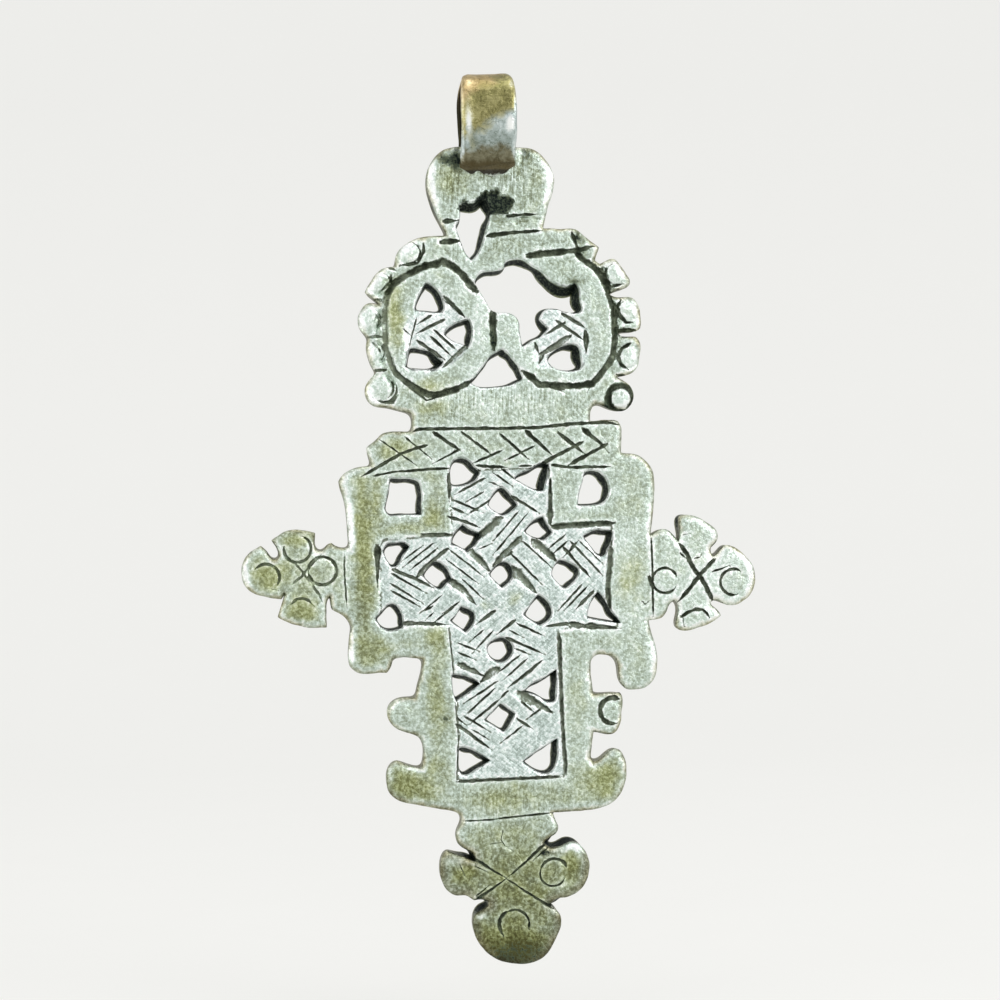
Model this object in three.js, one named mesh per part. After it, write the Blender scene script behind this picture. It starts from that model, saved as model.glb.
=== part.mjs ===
// A cast openwork pendant cross: one pierced plate, a strap bail bent over the top of its neck,
// and the two seams of solder that hold the bail's legs to the plate.
// Millimetres. +Z is up as the pendant hangs, +X is to the right of its engraved face, and that face looks along -Y.
// The origin is the middle of the bail's loop, where a cord carries the pendant.
import * as THREE from "three";

const PLATE_THICKNESS = 2.4;
const FRONT = -PLATE_THICKNESS / 2;

const STRAP_LEFT = -2.75;
const STRAP_RIGHT = 2.85;
const STRAP_THICKNESS = 1.05;
const LOOP_TOP = 3.95;
const LOOP_HALF_DEPTH = 3.6;
const LEG_END = -5.7;
const LEG_END_THICKNESS = 0.6;

const SOLDER_HEIGHT = 1.2;
const SOLDER_DEPTH = 0.5;
const SOLDER_INSET = 0.25;

const OUTLINE_STEP = 0.5;
const STRAP_STEP = 0.45;

const cast_white_metal = new THREE.MeshStandardMaterial({ color: 0xb4b8a2, roughness: 0.42, metalness: 1 });
const strap_white_metal = new THREE.MeshStandardMaterial({ color: 0xb0ab84, roughness: 0.36, metalness: 1 });
const grey_solder = new THREE.MeshStandardMaterial({ color: 0x9fa6a4, roughness: 0.5, metalness: 1 });

// Marks a point of a loop where the line turns sharply. The stretches between such points are smooth curves.
const SHARP = true;

// The right half of the rim runs down from the bail to the foot, and the left half runs back up.
const NECK_RIGHT = [
  [3.0, -3.7, SHARP], [4.4, -3.9], [5.4, -4.7], [6.2, -6.0], [6.45, -7.1], [6.2, -8.4], [5.6, -10.1],
  [5.15, -11.85, SHARP],
];
const HEAD_RIGHT = [
  [7.0, -11.95], [8.5, -12.05], [9.3, -12.8], [10.7, -13.9, SHARP], [10.25, -15.2, SHARP],
  [10.75, -15.6, SHARP], [11.6, -15.1], [12.3, -15.15], [12.95, -15.95], [13.7, -17.3], [13.5, -17.9],
  [12.6, -18.2], [11.55, -18.55, SHARP],
  [12.3, -18.95], [13.7, -18.95], [14.3, -19.5], [14.6, -20.6], [14.6, -22.0], [14.3, -22.35],
  [12.3, -22.45, SHARP],
  [12.6, -22.85], [14.1, -22.95], [14.5, -23.6], [14.4, -25.0], [14.0, -26.2], [13.3, -26.7],
  [11.9, -26.85, SHARP],
  [12.7, -27.3], [13.4, -27.9], [13.72, -28.85], [13.35, -29.8], [12.4, -30.35], [11.2, -30.15],
  [9.9, -29.5], [9.3, -30.1], [9.15, -31.25, SHARP],
];
const BAND_RIGHT = [
  [11.0, -31.15], [12.0, -31.35], [12.3, -31.9], [12.25, -33.2], [12.15, -34.5, SHARP],
];
const BODY_RIGHT = [
  [13.2, -34.6], [14.2, -35.0], [15.0, -35.8], [15.4, -36.9], [15.35, -39.0], [15.1, -41.2],
  [14.8, -42.9, SHARP],
];
const ARM_RIGHT = [
  [15.5, -42.35], [16.4, -42.25], [17.1, -42.8], [17.65, -43.6, SHARP],
  [17.75, -42.4], [17.7, -41.05, SHARP], [18.4, -40.9], [19.4, -41.05], [20.4, -41.6], [21.4, -42.4],
  [21.7, -43.0], [21.4, -43.8], [20.9, -44.25], [20.85, -44.7], [21.1, -45.2, SHARP],
  [22.2, -44.05, SHARP], [23.0, -44.15], [24.1, -44.95], [25.0, -46.1], [25.3, -47.3], [25.05, -48.6],
  [24.2, -49.6], [23.0, -50.15], [22.0, -50.0], [21.2, -49.5], [20.65, -49.75, SHARP],
  [20.75, -50.05, SHARP], [21.3, -50.5], [21.7, -51.1, SHARP], [20.6, -51.8], [19.2, -52.3],
  [17.8, -52.5], [17.05, -52.2], [17.1, -51.3], [17.4, -50.3], [17.05, -49.35, SHARP],
  [16.5, -49.8], [16.1, -50.7], [15.5, -51.2], [14.35, -51.3, SHARP],
];
const BODY_LOWER_RIGHT = [
  [14.55, -52.4], [14.95, -53.8], [15.08, -55.6], [14.8, -57.0], [14.0, -57.9], [12.9, -58.15],
  [11.8, -58.05], [11.2, -57.3], [11.1, -55.8], [10.75, -54.9], [10.1, -54.6], [8.9, -54.6],
  [8.45, -55.0], [8.37, -56.3], [8.5, -58.45, SHARP],
];
const TAB_RIGHT = [
  [11.2, -58.35, SHARP], [11.45, -58.7], [11.35, -60.2], [11.1, -61.7], [10.5, -62.45], [9.8, -62.55],
  [8.4, -62.2, SHARP],
];
const HOOK_RIGHT = [
  [8.25, -63.3], [8.05, -64.8, SHARP], [8.35, -65.2], [9.0, -64.95], [9.7, -64.3], [10.4, -63.9],
  [11.1, -64.2], [11.5, -65.1], [11.62, -66.4], [11.3, -67.8], [10.6, -68.9], [9.5, -69.65],
  [8.0, -69.95], [4.1, -70.1, SHARP],
];
const FOOT_RIGHT = [
  [4.35, -70.9], [4.6, -71.6], [4.3, -72.2], [3.6, -72.5], [3.05, -73.05, SHARP],
  [3.6, -73.55], [4.6, -73.5], [5.9, -73.02], [6.8, -73.5], [7.4, -74.6], [7.55, -75.7], [7.2, -77.0],
  [6.4, -78.0], [5.3, -78.5], [4.2, -78.6], [3.25, -79.25, SHARP],
  [4.1, -79.7], [4.55, -80.6], [4.3, -81.8], [3.6, -83.2], [2.6, -84.4], [1.2, -84.95],
];
const FOOT_LEFT = [
  [-0.6, -84.85], [-2.2, -84.3], [-3.4, -83.2], [-4.15, -81.9], [-4.3, -80.3], [-4.05, -79.75],
  [-3.1, -79.35], [-2.55, -78.75], [-3.2, -78.35], [-4.1, -78.45, SHARP],
  [-4.9, -77.9], [-5.9, -77.85], [-6.7, -77.4], [-7.25, -76.3], [-7.42, -75.1], [-7.15, -73.9],
  [-6.7, -73.3, SHARP], [-5.2, -74.0], [-3.75, -74.6, SHARP], [-4.2, -73.6], [-5.0, -73.2],
  [-5.65, -72.6], [-5.7, -71.7], [-5.1, -70.6], [-5.1, -70.05, SHARP],
];
const HOOK_LEFT = [
  [-5.6, -69.6], [-7.0, -69.3], [-9.6, -68.7], [-11.4, -68.2], [-12.15, -67.4], [-12.4, -66.2],
  [-12.25, -65.1], [-11.8, -64.45], [-11.35, -64.2, SHARP], [-10.2, -64.75], [-8.9, -65.15, SHARP],
  [-8.62, -64.2], [-8.62, -63.0], [-8.95, -62.05], [-9.8, -61.7], [-11.2, -61.1], [-12.0, -60.2],
  [-12.05, -59.1], [-11.5, -58.35], [-10.5, -58.05], [-9.2, -58.1, SHARP],
  [-9.0, -57.0], [-8.55, -55.6], [-8.35, -54.35, SHARP],
];
const BODY_LOWER_LEFT = [
  [-10.0, -54.08], [-11.35, -54.2, SHARP], [-11.5, -55.0], [-11.95, -55.6, SHARP], [-13.0, -55.5],
  [-14.0, -55.62], [-15.0, -55.35], [-15.65, -54.7], [-15.72, -53.3], [-15.55, -51.8],
  [-15.35, -50.85, SHARP],
];
const ARM_LEFT = [
  [-15.7, -50.15], [-16.5, -49.45], [-17.25, -49.0], [-17.35, -47.75, SHARP],
  [-17.65, -48.3], [-17.75, -49.6], [-17.75, -50.85, SHARP], [-19.4, -50.8], [-21.0, -50.4],
  [-22.6, -49.65, SHARP], [-22.2, -48.6], [-21.75, -47.2, SHARP],
  [-22.1, -47.9, SHARP], [-23.2, -47.7], [-24.6, -47.3], [-25.5, -46.7], [-25.95, -45.7],
  [-25.9, -44.4], [-25.3, -43.3], [-24.0, -42.5, SHARP], [-23.4, -43.0], [-23.1, -43.7],
  [-22.6, -43.98], [-22.2, -43.7], [-22.4, -42.9], [-22.95, -42.0, SHARP], [-21.5, -41.15],
  [-20.5, -41.0], [-18.55, -41.4, SHARP], [-18.65, -42.4], [-18.5, -43.1], [-18.1, -43.3],
  [-17.7, -42.9], [-17.1, -42.4], [-16.5, -42.9], [-15.35, -43.0, SHARP],
];
const BODY_LEFT = [
  [-15.4, -41.0], [-15.5, -39.2], [-15.75, -37.8], [-16.15, -36.4], [-15.7, -35.8], [-14.9, -35.3],
  [-14.0, -35.02], [-12.85, -35.0, SHARP],
];
const BAND_LEFT = [
  [-13.0, -34.3], [-13.25, -33.2], [-12.8, -32.8], [-12.1, -32.3], [-11.7, -31.8], [-11.0, -31.65],
  [-8.65, -31.7, SHARP],
];
const HEAD_LEFT = [
  [-8.6, -30.8], [-8.65, -29.95, SHARP], [-10.0, -29.55], [-11.2, -29.2], [-12.4, -29.05], [-13.1, -28.3],
  [-13.2, -27.3], [-12.75, -26.5], [-11.95, -25.75, SHARP], [-12.4, -25.2], [-12.75, -24.2],
  [-12.93, -23.0], [-12.65, -22.3, SHARP], [-13.05, -21.95], [-13.55, -21.2], [-13.65, -20.2],
  [-13.2, -19.3], [-12.6, -18.8], [-11.45, -18.95, SHARP],
  [-12.2, -18.3], [-12.88, -17.8, SHARP], [-12.3, -16.7], [-11.5, -15.75], [-10.7, -15.3],
  [-9.75, -15.3, SHARP], [-9.75, -14.5], [-9.3, -13.6], [-8.4, -12.9], [-7.1, -12.42],
  [-4.55, -12.3, SHARP],
];
const NECK_LEFT = [
  [-5.2, -10.9], [-5.85, -9.1], [-6.35, -7.4], [-6.35, -6.3], [-5.95, -5.2], [-5.2, -4.2],
  [-4.3, -3.65], [-3.2, -3.5, SHARP],
];
const RIM = [
  ...NECK_RIGHT, ...HEAD_RIGHT, ...BAND_RIGHT, ...BODY_RIGHT, ...ARM_RIGHT, ...BODY_LOWER_RIGHT,
  ...TAB_RIGHT, ...HOOK_RIGHT, ...FOOT_RIGHT, ...FOOT_LEFT, ...HOOK_LEFT, ...BODY_LOWER_LEFT,
  ...ARM_LEFT, ...BODY_LEFT, ...BAND_LEFT, ...HEAD_LEFT, ...NECK_LEFT,
];

const NECK_PIERCING = [
  [-3.2, -9.2, SHARP], [-1.6, -9.05], [-1.0, -8.65], [-0.4, -8.8], [-0.05, -9.8], [-0.15, -10.7, SHARP],
  [-0.6, -12.0], [-1.3, -13.9], [-2.1, -14.9, SHARP], [-2.75, -14.1], [-3.15, -12.9],
  [-3.6, -11.4, SHARP], [-3.1, -10.6],
];

// Lattice has broken out of the right roundel, and has left this ragged gap.
const BROKEN_GAP = [
  [-1.95, -17.05, SHARP], [-1.35, -16.15], [-0.3, -16.0], [0.7, -15.95], [1.15, -15.7, SHARP],
  [1.2, -15.15], [1.9, -14.85], [3.0, -14.95], [3.8, -15.6], [4.7, -16.1], [5.5, -16.95], [6.4, -17.5],
  [7.5, -17.7], [8.1, -17.4, SHARP], [8.5, -17.8], [8.6, -19.0], [8.75, -20.1], [8.3, -20.42],
  [7.2, -20.3], [6.1, -19.9], [5.3, -19.87], [4.7, -20.35], [4.4, -20.95, SHARP],
  [4.85, -21.4], [5.35, -21.85, SHARP], [4.5, -22.7], [3.5, -23.1], [2.65, -23.65, SHARP],
  [2.45, -22.2], [2.38, -21.0], [1.95, -20.4], [1.0, -20.15], [0.3, -20.13], [-0.45, -19.85, SHARP],
  [-0.85, -18.9], [-1.45, -17.9],
];
const LEFT_ROUNDEL_PIERCINGS = [
  [
    [-6.7, -16.9, SHARP], [-5.75, -17.55], [-5.1, -18.9], [-5.05, -19.65], [-5.4, -19.97], [-6.6, -19.85],
    [-8.0, -19.65, SHARP], [-7.75, -18.8], [-7.2, -17.7],
  ],
  [
    [-2.6, -20.7, SHARP], [-3.7, -21.0], [-4.7, -21.5], [-5.12, -22.1, SHARP], [-4.3, -22.8], [-3.3, -23.2],
    [-2.65, -23.4, SHARP], [-2.35, -22.5], [-2.35, -21.4],
  ],
  [
    [-8.55, -23.38, SHARP], [-7.9, -23.38], [-7.2, -23.65], [-6.5, -23.75], [-5.25, -24.9, SHARP],
    [-5.8, -25.45], [-7.0, -25.6], [-9.1, -25.3, SHARP],
  ],
];
const RIGHT_ROUNDEL_PIERCING = [
  [5.1, -24.95], [5.5, -24.25], [6.3, -23.8], [7.6, -23.42], [8.3, -23.75], [8.55, -24.8], [8.45, -25.9],
  [7.6, -26.2], [6.2, -26.0], [5.3, -25.45],
];
const BETWEEN_ROUNDELS = [
  [0.65, -23.75, SHARP], [1.3, -24.4], [2.1, -25.5], [2.6, -26.8, SHARP], [1.5, -27.35], [-0.2, -27.55],
  [-1.8, -27.55], [-2.75, -27.0, SHARP], [-1.7, -25.9], [-0.55, -24.4, SHARP],
];
const CORNER_WINDOWS = [
  [
    [-10.95, -36.25, SHARP], [-8.4, -36.5], [-8.05, -36.85], [-7.93, -37.8], [-7.95, -40.0, SHARP],
    [-9.6, -39.93], [-11.2, -39.95], [-11.65, -39.3, SHARP], [-11.3, -38.0],
  ],
  [
    [9.0, -36.1], [9.7, -36.25], [10.55, -36.9, SHARP], [10.8, -37.6], [10.7, -38.8], [10.1, -39.45],
    [9.0, -39.62], [7.58, -39.62, SHARP], [7.75, -38.8], [8.2, -37.2], [8.45, -36.35],
  ],
];
// The openings between the straps of the interlace, row by row from the top.
const LATTICE_PIERCINGS = [
  [
    [-3.75, -34.42], [-3.1, -34.75], [-2.75, -35.2], [-2.0, -35.95, SHARP], [-2.6, -36.8], [-3.8, -37.25],
    [-4.95, -37.2, SHARP], [-5.02, -36.2], [-4.9, -35.1], [-4.5, -34.65],
  ],
  [
    [4.92, -35.35, SHARP], [4.1, -35.25], [2.9, -35.9], [1.9, -36.2], [1.35, -36.7, SHARP], [2.4, -37.3],
    [3.7, -38.0], [4.32, -38.0, SHARP], [4.65, -36.8],
  ],
  [
    [0.05, -37.5], [0.6, -37.85], [0.95, -38.35], [1.62, -39.35, SHARP], [1.0, -39.95], [0.2, -40.4],
    [-0.55, -39.95], [-1.35, -39.3], [-1.0, -38.5], [-0.5, -37.8],
  ],
  [
    [-3.9, -41.05, SHARP], [-3.1, -41.7], [-2.1, -42.1, SHARP], [-2.7, -43.15], [-3.6, -43.85, SHARP],
    [-4.2, -43.3], [-5.2, -43.1, SHARP], [-4.9, -42.1],
  ],
  [
    [4.15, -40.55, SHARP], [3.1, -40.95], [2.15, -42.0, SHARP], [3.1, -42.65], [4.1, -43.0, SHARP],
    [5.02, -42.2, SHARP], [4.5, -41.4],
  ],
  [
    [-11.45, -42.68, SHARP], [-9.6, -42.75], [-9.25, -43.1, SHARP], [-10.0, -44.0], [-10.6, -45.0],
    [-11.15, -45.1, SHARP], [-11.6, -44.4], [-11.95, -43.4, SHARP],
  ],
  [
    [8.05, -42.65, SHARP], [9.2, -42.1], [11.05, -42.3, SHARP], [11.0, -43.1], [10.45, -44.1],
    [10.2, -44.75], [9.6, -44.7], [8.8, -43.7],
  ],
  [
    [-6.85, -44.6], [-6.1, -44.85], [-5.6, -45.5], [-5.15, -46.5, SHARP], [-5.8, -46.95], [-6.3, -47.5],
    [-7.2, -46.95], [-8.15, -46.0, SHARP], [-7.5, -45.3],
  ],
  [
    [0.05, -44.88], [0.6, -45.1], [0.98, -45.9], [0.8, -46.65], [-0.2, -47.6, SHARP], [-0.8, -46.9],
    [-1.5, -46.1, SHARP], [-0.9, -45.4],
  ],
  [
    [5.6, -44.9], [6.4, -45.15], [7.45, -45.75], [7.55, -46.4], [6.9, -47.25], [6.1, -47.85],
    [5.3, -47.15], [4.75, -46.3], [5.15, -45.5],
  ],
  [
    [-11.35, -48.62], [-10.75, -48.85], [-10.25, -49.8], [-10.15, -51.1, SHARP], [-11.2, -51.4],
    [-12.2, -51.15], [-12.95, -50.1, SHARP], [-12.0, -49.15],
  ],
  [
    [9.35, -48.2, SHARP], [9.9, -48.8], [10.5, -50.0], [11.55, -51.5, SHARP], [9.9, -51.2],
    [8.15, -50.85, SHARP], [8.5, -49.6],
  ],
  [
    [-4.4, -49.2, SHARP], [-3.5, -49.55], [-3.0, -50.0], [-3.1, -50.9], [-4.0, -51.85, SHARP],
    [-4.7, -51.2], [-5.55, -50.6, SHARP], [-4.9, -50.1],
  ],
  [
    [3.4, -48.28, SHARP], [4.1, -48.8], [4.68, -49.9], [4.55, -50.7], [3.4, -51.45, SHARP],
    [2.7, -50.95], [1.8, -50.25, SHARP], [2.5, -49.4],
  ],
  [
    [-0.45, -52.4], [0.35, -52.8], [0.75, -53.6], [0.35, -54.5], [-0.6, -55.0], [-1.5, -54.5],
    [-1.95, -53.4], [-1.25, -52.65],
  ],
  [
    [-5.5, -55.95, SHARP], [-3.9, -56.2], [-2.65, -57.0, SHARP], [-3.9, -57.8], [-5.2, -58.6, SHARP],
    [-5.5, -57.4],
  ],
  [
    [4.95, -55.8, SHARP], [3.7, -56.65], [2.5, -57.15], [1.55, -57.95, SHARP], [2.9, -58.35],
    [3.95, -59.1], [4.72, -59.0, SHARP], [4.9, -57.4],
  ],
  [
    [-0.75, -58.98, SHARP], [-0.1, -59.5], [0.72, -60.1, SHARP], [0.2, -61.0], [-0.5, -61.9, SHARP],
    [-1.3, -61.3], [-2.42, -60.6, SHARP], [-1.5, -59.7],
  ],
  [
    [-5.1, -63.25, SHARP], [-4.5, -63.2], [-3.2, -63.8], [-1.95, -64.65, SHARP], [-3.6, -65.55],
    [-4.6, -66.02], [-5.05, -65.8],
  ],
  [
    [4.78, -62.7, SHARP], [4.75, -64.2], [4.4, -65.6], [3.7, -66.2], [2.7, -65.95], [1.25, -64.9, SHARP],
    [2.2, -64.2], [3.5, -63.5],
  ],
];
const PIERCINGS = [
  NECK_PIERCING, BROKEN_GAP, ...LEFT_ROUNDEL_PIERCINGS, RIGHT_ROUNDEL_PIERCING, BETWEEN_ROUNDELS,
  ...CORNER_WINDOWS, ...LATTICE_PIERCINGS,
];

// Points along a smooth curve through the given ones, about step apart. Two points give a straight line.
function alongCurve(points, step, closed = false) {
  if (points.length === 2) return points.map(([x, y]) => new THREE.Vector2(x, y));
  const through = points.map(([x, y]) => new THREE.Vector3(x, y, 0));
  const curve = new THREE.CatmullRomCurve3(through, closed, "centripetal");
  const count = Math.max(points.length - 1, Math.ceil(curve.getLength() / step));
  return curve.getSpacedPoints(count).map((p) => new THREE.Vector2(p.x, p.y));
}

// A closed loop whose stretches between SHARP points are smooth curves.
function loopOutline(loop, step) {
  const first = loop.findIndex((point) => point[2]);
  if (first < 0) return alongCurve(loop, step, true).slice(0, -1);
  const turned = [...loop.slice(first), ...loop.slice(0, first + 1)];
  const outline = [];
  let stretch = [turned[0]];
  for (const point of turned.slice(1)) {
    stretch.push(point);
    if (!point[2]) continue;
    outline.push(...alongCurve(stretch, step).slice(0, -1));
    stretch = [point];
  }
  return outline;
}

// Extrudes a shape by depth, and turns it so that its own x, y and depth run along the given axes.
function extruded(shape, depth, alongX, alongY, alongDepth) {
  const geometry = new THREE.ExtrudeGeometry(shape, { depth, bevelEnabled: false, curveSegments: 1 });
  return geometry.applyMatrix4(new THREE.Matrix4().makeBasis(alongX, alongY, alongDepth));
}

const X = new THREE.Vector3(1, 0, 0);
const Y = new THREE.Vector3(0, 1, 0);
const Z = new THREE.Vector3(0, 0, 1);

function crossPlate() {
  // RIM runs clockwise, and the outside of a shape with holes runs the other way.
  const shape = new THREE.Shape(loopOutline(RIM, OUTLINE_STEP).reverse());
  shape.holes = PIERCINGS.map((loop) => new THREE.Path(loopOutline(loop, OUTLINE_STEP)));
  const geometry = extruded(shape, PLATE_THICKNESS, X, Z, Y.clone().negate());
  return geometry.translate(0, PLATE_THICKNESS / 2, 0);
}

// The strap seen from its end: a loop over the neck, whose two legs thin out against the plate's faces.
function bailStrap() {
  const outerSide = [
    [FRONT - LEG_END_THICKNESS, LEG_END], [-2.15, -4.5], [-2.9, -3.2], [-3.45, -1.6],
    [-LOOP_HALF_DEPTH, 0.2], [-3.3, 2.0], [-2.1, 3.4], [0, LOOP_TOP],
  ];
  const innerSide = [
    [0, LOOP_TOP - STRAP_THICKNESS], [-1.5, 2.5], [-2.35, 1.5], [STRAP_THICKNESS - LOOP_HALF_DEPTH, 0.2],
    [-2.42, -1.4], [-1.85, -3.0], [FRONT, -4.4],
  ];
  const mirrored = (side) => side.map(([y, z]) => [-y, z]).reverse();
  const outer = [...outerSide, ...mirrored(outerSide).slice(1)];
  const inner = [...mirrored(innerSide), ...innerSide.slice(1)];
  const outline = [
    ...alongCurve(outer, STRAP_STEP),
    new THREE.Vector2(-FRONT, LEG_END),
    ...alongCurve(inner, STRAP_STEP),
    new THREE.Vector2(FRONT, LEG_END),
  ];
  const geometry = extruded(new THREE.Shape(outline), STRAP_RIGHT - STRAP_LEFT, Y, Z, X);
  return geometry.translate(STRAP_LEFT, 0, 0);
}

// A wedge of solder in the corner between a leg's end and the plate. Side is -1 at the front and 1 at the back.
function solderSeam(side) {
  const face = (side * PLATE_THICKNESS) / 2;
  const wedge = new THREE.Shape([
    new THREE.Vector2(face, LEG_END),
    new THREE.Vector2(face, LEG_END - SOLDER_HEIGHT),
    new THREE.Vector2(face + side * SOLDER_DEPTH * 0.3, LEG_END - SOLDER_HEIGHT * 0.55),
    new THREE.Vector2(face + side * SOLDER_DEPTH, LEG_END),
  ]);
  const length = STRAP_RIGHT - STRAP_LEFT - 2 * SOLDER_INSET;
  return extruded(wedge, length, Y, Z, X).translate(STRAP_LEFT + SOLDER_INSET, 0, 0);
}

function named(name, geometry, material) {
  const mesh = new THREE.Mesh(geometry, material);
  mesh.name = name;
  return mesh;
}

const pendant = new THREE.Group();
pendant.add(
  named("cross_plate", crossPlate(), cast_white_metal),
  named("bail_strap", bailStrap(), strap_white_metal),
  named("solder_front", solderSeam(-1), grey_solder),
  named("solder_back", solderSeam(1), grey_solder),
);

export default pendant;
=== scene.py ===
"""A worn cast cross pendant: its engraved and pierced plate, its strap bail and the solder between them.

Lengths are in millimetres and are scaled to metres where a mesh or an object is made. On the plate a point is
(x, z): x to the right of the engraved face, z up. Depths are counted into the metal from that face. Patches
are soft ovals, as (x, z, half width, half height, strength).
"""

import math

import bmesh
import bpy
import numpy as np
from mathutils import Matrix, Vector, geometry, kdtree, noise


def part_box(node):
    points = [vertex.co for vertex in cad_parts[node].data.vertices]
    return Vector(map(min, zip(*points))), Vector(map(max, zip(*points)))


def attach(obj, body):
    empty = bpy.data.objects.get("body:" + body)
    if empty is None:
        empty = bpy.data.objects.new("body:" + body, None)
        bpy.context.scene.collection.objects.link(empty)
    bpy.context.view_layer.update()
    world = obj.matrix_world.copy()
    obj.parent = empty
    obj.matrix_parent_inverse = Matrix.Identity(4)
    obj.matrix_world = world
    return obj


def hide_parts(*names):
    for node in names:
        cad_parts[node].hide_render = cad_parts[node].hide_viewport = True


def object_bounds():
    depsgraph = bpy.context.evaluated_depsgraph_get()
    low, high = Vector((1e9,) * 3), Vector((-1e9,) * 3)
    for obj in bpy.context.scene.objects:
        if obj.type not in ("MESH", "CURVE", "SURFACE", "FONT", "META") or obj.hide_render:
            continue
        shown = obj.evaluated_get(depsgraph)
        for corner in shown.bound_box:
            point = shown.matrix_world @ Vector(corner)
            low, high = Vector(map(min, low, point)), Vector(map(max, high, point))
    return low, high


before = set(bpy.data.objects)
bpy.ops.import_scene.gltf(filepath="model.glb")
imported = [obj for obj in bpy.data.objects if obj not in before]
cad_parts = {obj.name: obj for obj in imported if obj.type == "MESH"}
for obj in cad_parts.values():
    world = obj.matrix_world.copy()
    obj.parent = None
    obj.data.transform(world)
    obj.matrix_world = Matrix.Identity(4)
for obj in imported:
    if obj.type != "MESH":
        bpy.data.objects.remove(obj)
CAD_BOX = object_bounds()

MM = 0.001
PLATE_LOW, PLATE_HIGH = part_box("cross_plate")
FRONT = PLATE_LOW.y / MM
BACK = PLATE_HIGH.y / MM

# How finely the outline and the cuts are followed.
OUTLINE_STEP = 0.22
CUT_STEP = 0.13
# The outline's corners, which stay sharper than its curves, turn by more than this.
CORNER_DEGREES = 35
# Each face's mesh: how far its chosen points keep from the edges and from each other, the step of the grid
# between them, and how far the grid keeps from the edges and, in steps, from the chosen points.
FRONT_SPACING = (0.055, 0.05, 0.29, 0.15, 0.6)
BACK_SPACING = (0.08, 0.1, 0.6, 0.25, 0.5)
# How far in from the edges rows of mesh points follow them.
RIM_RINGS = (0.07, 0.16, 0.32, 0.52)
PIERCING_RINGS = (0.07, 0.15, 0.27)
BACK_RINGS = (0.12, 0.26)
# What each point of the plate says to its finish, with painted shade and painted highlights among the dirt,
# stain and wear.
MASKS = ("cut_dirt_and_shade", "edge", "rim_stain_and_shade", "shoulder_highlight", "olive", "woven", "dirt_and_shade", "highlight_and_wear", "border", "brush")

# How far in from an edge its wear reaches and how far the face falls there, at the rim and at the piercings.
RIM_REACH = 0.75
RIM_FALL = 0.28
PIERCING_REACH = 0.4
PIERCING_FALL = 0.13
BACK_ROUNDING = 0.3
# The way the piercings narrow towards the back.
PIERCING_DRAFT = 0.3
STEEP_SIDE = np.array([-0.7, -0.45])
DRAFT_STEPS = 12
WALL_ROWS = 5

# The side of an engraved line that lies in shade, as a direction.
SHADE_SIDE = np.array([0.35, 1.0])
# How far the raised shoulder reaches beside a cut.
SHOULDER_REACH = 0.15
# The cut that marks off each bead's inner side.
CRESCENT_WIDTH = 0.17

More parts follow.
